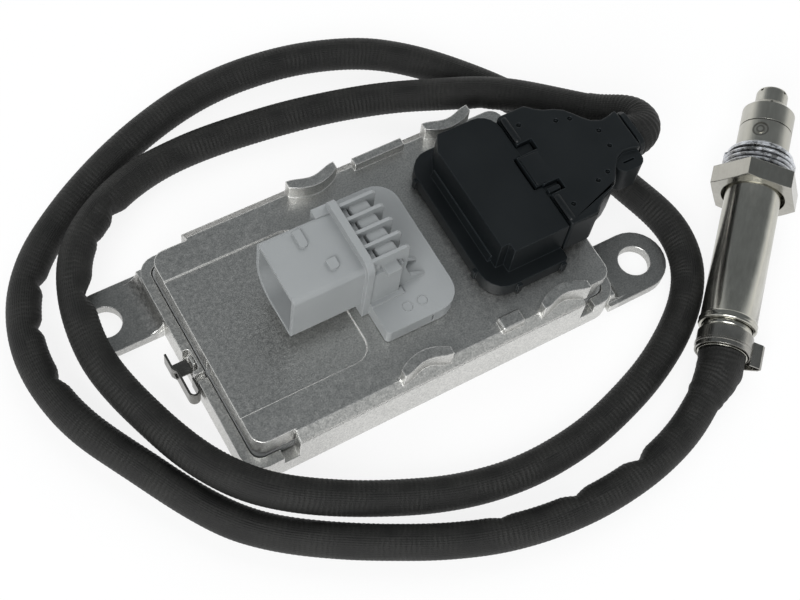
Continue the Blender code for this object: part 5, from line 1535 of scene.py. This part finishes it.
    def boot_shape(self, distance: float, centre: Vector, out: Vector) -> float:
        """The boot's radius: it widens to the band, with soft wrinkles across it.

        Args:
            distance: the distance along the centreline.
            centre: the point of the centreline.
            out: the direction outwards.

        Returns:
            The radius.
        """
        share = min(1.0, distance / self.boot_length / self.boot_full)
        begin = max(0.0, 1.0 - distance / self.boot_begin)
        base = CABLE_RADIUS + (self.boot_radius - CABLE_RADIUS) * share ** self.boot_power
        turn = self.wrinkle_turn
        ridge = chance(Vector((distance * self.wrinkle_scale, out.z * turn, out.x * turn)))
        soft = self.wrinkle_soft * noise.noise(centre * self.wrinkle_soft_scale + out * turn)
        calm = min(1.0, (self.boot_length - distance) / self.calm_length + self.calm_least)
        return base - self.wrinkle_depth * (ridge + soft) * calm - self.sunk * begin


# The control unit


@dataclass
class Housing:
    """The cast tray and cover, and the spring clip with its edges rounded."""

    clip_edge: float = 0.00012

    def build(self, frame: dict, finishes: Finishes) -> None:
        """Dresses the cast pieces and the clip.

        Args:
            frame: the loaded frame.
            finishes: the object's finishes.
        """
        for node, name in (("housing_base", "cast_tray"), ("housing_cover", "cast_cover")):
            piece = clean_copy(frame, node, name)
            soften(piece)
            finishes.hand_over(piece, Body.SENSOR, Slot.CAST, node)
        clip = clean_copy(frame, "cover_clip", "folded_clip", flat=FLAT_ANGLE)
        soften(clip, self.clip_edge)
        finishes.hand_over(clip, Body.SENSOR, Slot.SPRING, "cover_clip", look=Look.CLIP)


@dataclass
class VehicleHeader:
    """The pale header and the round marks of its mould."""

    foot_top: float = 0.0212
    mark_radius: float = 0.00145
    mark_width: float = 0.00026
    mark_rise: float = 0.00013
    mark_sides: int = 40
    marks: tuple[Pair, ...] = ((-0.0016, -0.0151), (0.0026, -0.0152))

    def build(self, frame: dict, finishes: Finishes) -> None:
        """Dresses the header and adds its mould marks.

        Args:
            frame: the loaded frame.
            finishes: the object's finishes.
        """
        header = clean_copy(frame, "vehicle_header", "pale_header")
        soften(header)
        finishes.hand_over(header, Body.SENSOR, Slot.PALE, "vehicle_header")
        marks = join("mould_marks", *[self.mark(place) for place in self.marks])
        finishes.hand_over(marks, Body.SENSOR, Slot.PALE)

    def mark(self, place: Pair) -> bpy.types.Object:
        """One raised ring that an ejector pin left.

        Args:
            place: its centre in X and Y.

        Returns:
            The ring.
        """
        outer, inner, rise = self.mark_radius, self.mark_radius - self.mark_width, self.mark_rise
        crest = ((outer + inner) / 2, rise)
        profile = ((outer, -rise), (outer, 0.0), crest, (inner, 0.0), (inner, -rise))
        ring = turned("mould_mark", profile, self.mark_sides)
        ring.location = (*place, self.foot_top)
        settle(ring)
        return ring


@dataclass
class SensorPlug:
    """The black header and the plug's rear cover, with the cover's raised lips and its tab's lid."""

    rear_start: float = 0.0436
    rear_top: float = 0.0325
    lip_length: float = 0.0024
    lip_rise: float = 0.00028
    lip_inner: float = 0.0086
    lip_outer: float = 0.0177
    lip_radius: float = 0.0011
    lid_start: float = 0.0418
    lid_end: float = 0.0509
    lid_half: float = 0.0045
    lid_rise: float = 0.00022
    lid_rounding: float = 0.8
    lid_drop: float = 1.6

    def build(self, frame: dict, finishes: Finishes) -> None:
        """Dresses both black mouldings and adds the lips and the lid.

        Args:
            frame: the loaded frame.
            finishes: the object's finishes.
        """
        for node, name in (
            ("sensor_header", "black_header"),
            ("plug_rear_cover", "black_rear_cover"),
        ):
            piece = clean_copy(frame, node, name)
            soften(piece)
            finishes.hand_over(piece, Body.SENSOR, Slot.BLACK, node)
        lips = join("rear_cover_lips", self.lip(-1), self.lip(1))
        for piece in (lips, self.lid()):
            finishes.hand_over(piece, Body.SENSOR, Slot.BLACK)

    def lip(self, side: int) -> bpy.types.Object:
        """The rounded lip of the rear cover beside one latch window.

        Args:
            side: 1 for the far side, -1 for the near one.

        Returns:
            The lip.
        """
        near, far = sorted((side * self.lip_inner, side * self.lip_outer))
        low = (self.rear_start + SUNK, near, self.rear_top - self.lip_rise - self.lip_radius)
        high = (self.rear_start + self.lip_length, far, self.rear_top + self.lip_rise)
        return rounded_box("cover_lip", low, high, self.lip_radius)

    def lid(self) -> bpy.types.Object:
        """The thin lid over the cover's front tab, which sinks into the cover at its far end.

        Returns:
            The lid.
        """
        low = (self.lid_start, -self.lid_half, self.rear_top - self.lid_rise)
        high = (self.lid_end, self.lid_half, self.rear_top + self.lid_rise)
        lid = rounded_box("tab_lid", low, high, self.lid_rise * self.lid_rounding, 2)
        middle = (self.lid_start + self.lid_end) / 2

        def work() -> None:
            """Sinks the far end."""
            select_points(lid, lambda point: point.x > middle)
            bpy.ops.transform.translate(value=(0.0, 0.0, -self.lid_drop * self.lid_rise))

        in_edit_mode(lid, work, "VERT")
        return lid


# The probe


@dataclass
class Probe:
    """The probe's steel pieces: band, sleeves, tube, hollow screw with its thread, shell and tip."""

    sides: int = 112
    inner: float = 0.0069
    tube_radius: float = 0.0076
    bead: Profile = ((0.0069, 0.0078), (0.0074, 0.0078), (0.00775, 0.0080), (0.0079, 0.0083),
                     (0.00785, 0.0086), (0.00772, 0.0089), (0.00785, 0.0092), (0.0079, 0.0095),
                     (0.00775, 0.0098), (0.0076, 0.0100))
    lip_radius: float = 0.0084
    lip_start: float = 0.0505
    lip_half: float = 0.0004
    lip_end: float = 0.0520
    band_outer: float = 0.0075
    band_ridges: tuple[float, ...] = (0.0017, 0.0023)
    ridge_rise: float = 0.00014
    ridge_half: float = 0.00022
    hex_end: float = 0.0540
    screw_end: float = 0.0600
    shank_inner: float = 0.0087
    shank_margin: float = 0.00005
    thread_root: float = 0.0092
    thread_crest: float = 0.0100
    thread_pitch: float = 0.0015
    thread_turns: int = 4
    thread_steps: int = 64
    thread_width: float = 0.94
    thread_crest_share: float = 0.22
    thread_angle: float = 40.0
    skin_rise: float = 0.00006
    skin_depth: float = 0.0009
    skin_slope: Pair = (0.0006, 0.0009)
    edge: float = 0.00011

    def build(self, frame: dict, finishes: Finishes) -> None:
        """Makes or dresses every steel piece of the probe.

        Args:
            frame: the loaded frame.
            finishes: the object's finishes.
        """
        home = probe_frame()
        self.build_screw(frame, finishes, home)
        tube = turned("polished_rear_tube", self.tube_profile(), self.sides)
        settle(tube, home)
        finishes.hand_over(tube, Body.SENSOR, Slot.STEEL, "rear_tube")
        ridges = join("band_ridges", *[self.ridge(place) for place in self.band_ridges])
        settle(ridges, home)
        finishes.hand_over(ridges, Body.SENSOR, Slot.SPRING)
        for node, name, slot, look, width in (
            ("band_clamp", "crimped_band", Slot.SPRING, None, self.edge),
            ("end_sleeve", "grooved_end_sleeve", Slot.STEEL, None, self.edge),
            ("probe_shell", "welded_probe_shell", Slot.STEEL, Look.WELDED, 0.0),
            ("sealing_seat", "pasted_seat", Slot.STEEL, Look.SEAT, self.edge),
            ("outer_protection_tube", "outer_tip_tube", Slot.STEEL, Look.SATIN, 0.0),
            ("inner_protection_tube", "inner_tip_tube", Slot.STEEL, Look.SATIN, 0.0),
        ):
            merging = (BEVEL_MERGE, FLAT_ANGLE) if width else (COPY_MERGE, 0.0)
            piece = clean_copy(frame, node, name, *merging)
            if look is Look.WELDED:
                turn = Matrix.Rotation(math.radians(WELD_TURN), 4, "Z")
                settle(piece, home @ turn @ home.inverted())
            soften(piece, width)
            finishes.hand_over(piece, Body.SENSOR, slot, node, look=look)

    def tube_profile(self) -> list[Pair]:
        """The rear tube's profile, from its double bead to the lip inside the screw.

        Returns:
            The (radius, height) points.
        """
        lip = [(self.tube_radius, self.lip_start - self.lip_half),
               (self.lip_radius, self.lip_start + self.lip_half),
               (self.lip_radius, self.lip_end), (self.inner, self.lip_end)]
        return list(self.bead) + lip

    def ridge(self, place: float) -> bpy.types.Object:
        """One fine ridge round the band.

        Args:
            place: its place along the probe.

        Returns:
            The ridge.
        """
        root, crest = self.band_outer - SUNK, self.band_outer + self.ridge_rise
        half = self.ridge_half
        profile = ((root, place - half), (crest, place - half / 3),
                   (crest, place + half / 3), (root, place + half))
        return turned("band_ridge", profile, self.sides)

    def on_shank(self, point: Vector) -> bool:
        """Whether a point of the screw lies on the outside of its shank."""
        reach = math.hypot(point.x, point.y)
        return (point.z > self.hex_end - self.shank_margin
                and self.shank_inner < reach < self.thread_crest + SUNK)

    def build_screw(self, frame: dict, finishes: Finishes, home: Matrix) -> None:
        """The hexagon with its shank turned down, and the pasted thread on it.

        Args:
            frame: the loaded frame.
            finishes: the object's finishes.
            home: the probe's own frame.
        """
        nut = clean_copy(frame, "hollow_screw", "hexagon_screw")
        settle(nut, home.inverted())
        waist = self.thread_root / self.thread_crest

        def narrow() -> None:
            """Turns the shank down to the thread's root."""
            select_points(nut, self.on_shank)
            bpy.ops.transform.resize(value=(waist, waist, 1.0),
                                     center_override=(0.0, 0.0, self.hex_end))

        in_edit_mode(nut, narrow, "VERT")
        settle(nut, home)
        soften(nut)
        finishes.hand_over(nut, Body.SCREW, Slot.STEEL, "hollow_screw", look=Look.HEXAGON)
        thread = self.thread()
        settle(thread, home)
        finishes.hand_over(thread, Body.SCREW, Slot.STEEL, look=Look.THREAD)

    def thread(self) -> bpy.types.Object:
        """The screw's helical thread over a thin pasted skin on its root.

        Returns:
            The thread, in the probe's own frame.
        """
        root, crest, pitch = self.thread_root - SUNK, self.thread_crest, self.thread_pitch
        middle = (root + crest) / 2
        centre = (middle, 0.0, self.hex_end)
        deselect_all()
        bpy.ops.mesh.primitive_plane_add(size=1.0, location=centre,
                                         rotation=(math.pi / 2, 0.0, 0.0))
        ridge = bpy.context.active_object
        ridge.scale = (crest - root, self.thread_width * pitch, 1.0)
        settle(ridge)

        def shape() -> None:
            """Narrows the thread's crest and leaves only its outline."""
            select_points(ridge, lambda point: point.x > middle)
            bpy.ops.transform.resize(value=(1.0, 1.0, self.thread_crest_share),
                                     center_override=centre)
            bpy.ops.mesh.select_all(action="SELECT")
            bpy.ops.mesh.delete(type="ONLY_FACE")

        in_edit_mode(ridge, shape, "VERT")
        apply_modifier(ridge, "SCREW", axis="Z", angle=2 * math.pi, screw_offset=pitch,
                       iterations=self.thread_turns, steps=self.thread_steps,
                       render_steps=self.thread_steps, use_merge_vertices=False)

        def cap() -> None:
            """Closes the two ends of the coil."""
            bpy.ops.mesh.select_all(action="SELECT")
            bpy.ops.mesh.fill_holes(sides=4)

        in_edit_mode(ridge, cap, "EDGE")
        thread = join("pasted_thread", ridge, turned("thread_skin", self.skin(), self.thread_steps))
        close_seams(thread, SEAM_MERGE)
        smooth(thread, self.thread_angle)
        return thread

    def skin(self) -> Profile:
        """The profile of the paste on the thread's root, sloped at the screw's end.

        Returns:
            The (radius, height) points.
        """
        outer, inner = self.thread_root + self.skin_rise, self.thread_root - self.skin_depth
        start, end = self.hex_end - SUNK, self.screw_end - SUNK
        drop, length = self.skin_slope
        slope = ((outer, self.screw_end - length), (self.thread_root - drop, end))
        return ((outer, start), *slope, (inner, end), (inner, start))


# Main


def main() -> None:
    """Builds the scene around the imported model."""
    logging.basicConfig(level=logging.INFO, format="%(message)s")
    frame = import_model()
    Studio().build()
    finishes = Finishes()
    finishes.build()
    CableRun().build(finishes)
    finishes.dress_nodes(frame)
    Housing().build(frame, finishes)
    VehicleHeader().build(frame, finishes)
    SensorPlug().build(frame, finishes)
    Probe().build(frame, finishes)


if __name__ == "__main__":
    main()
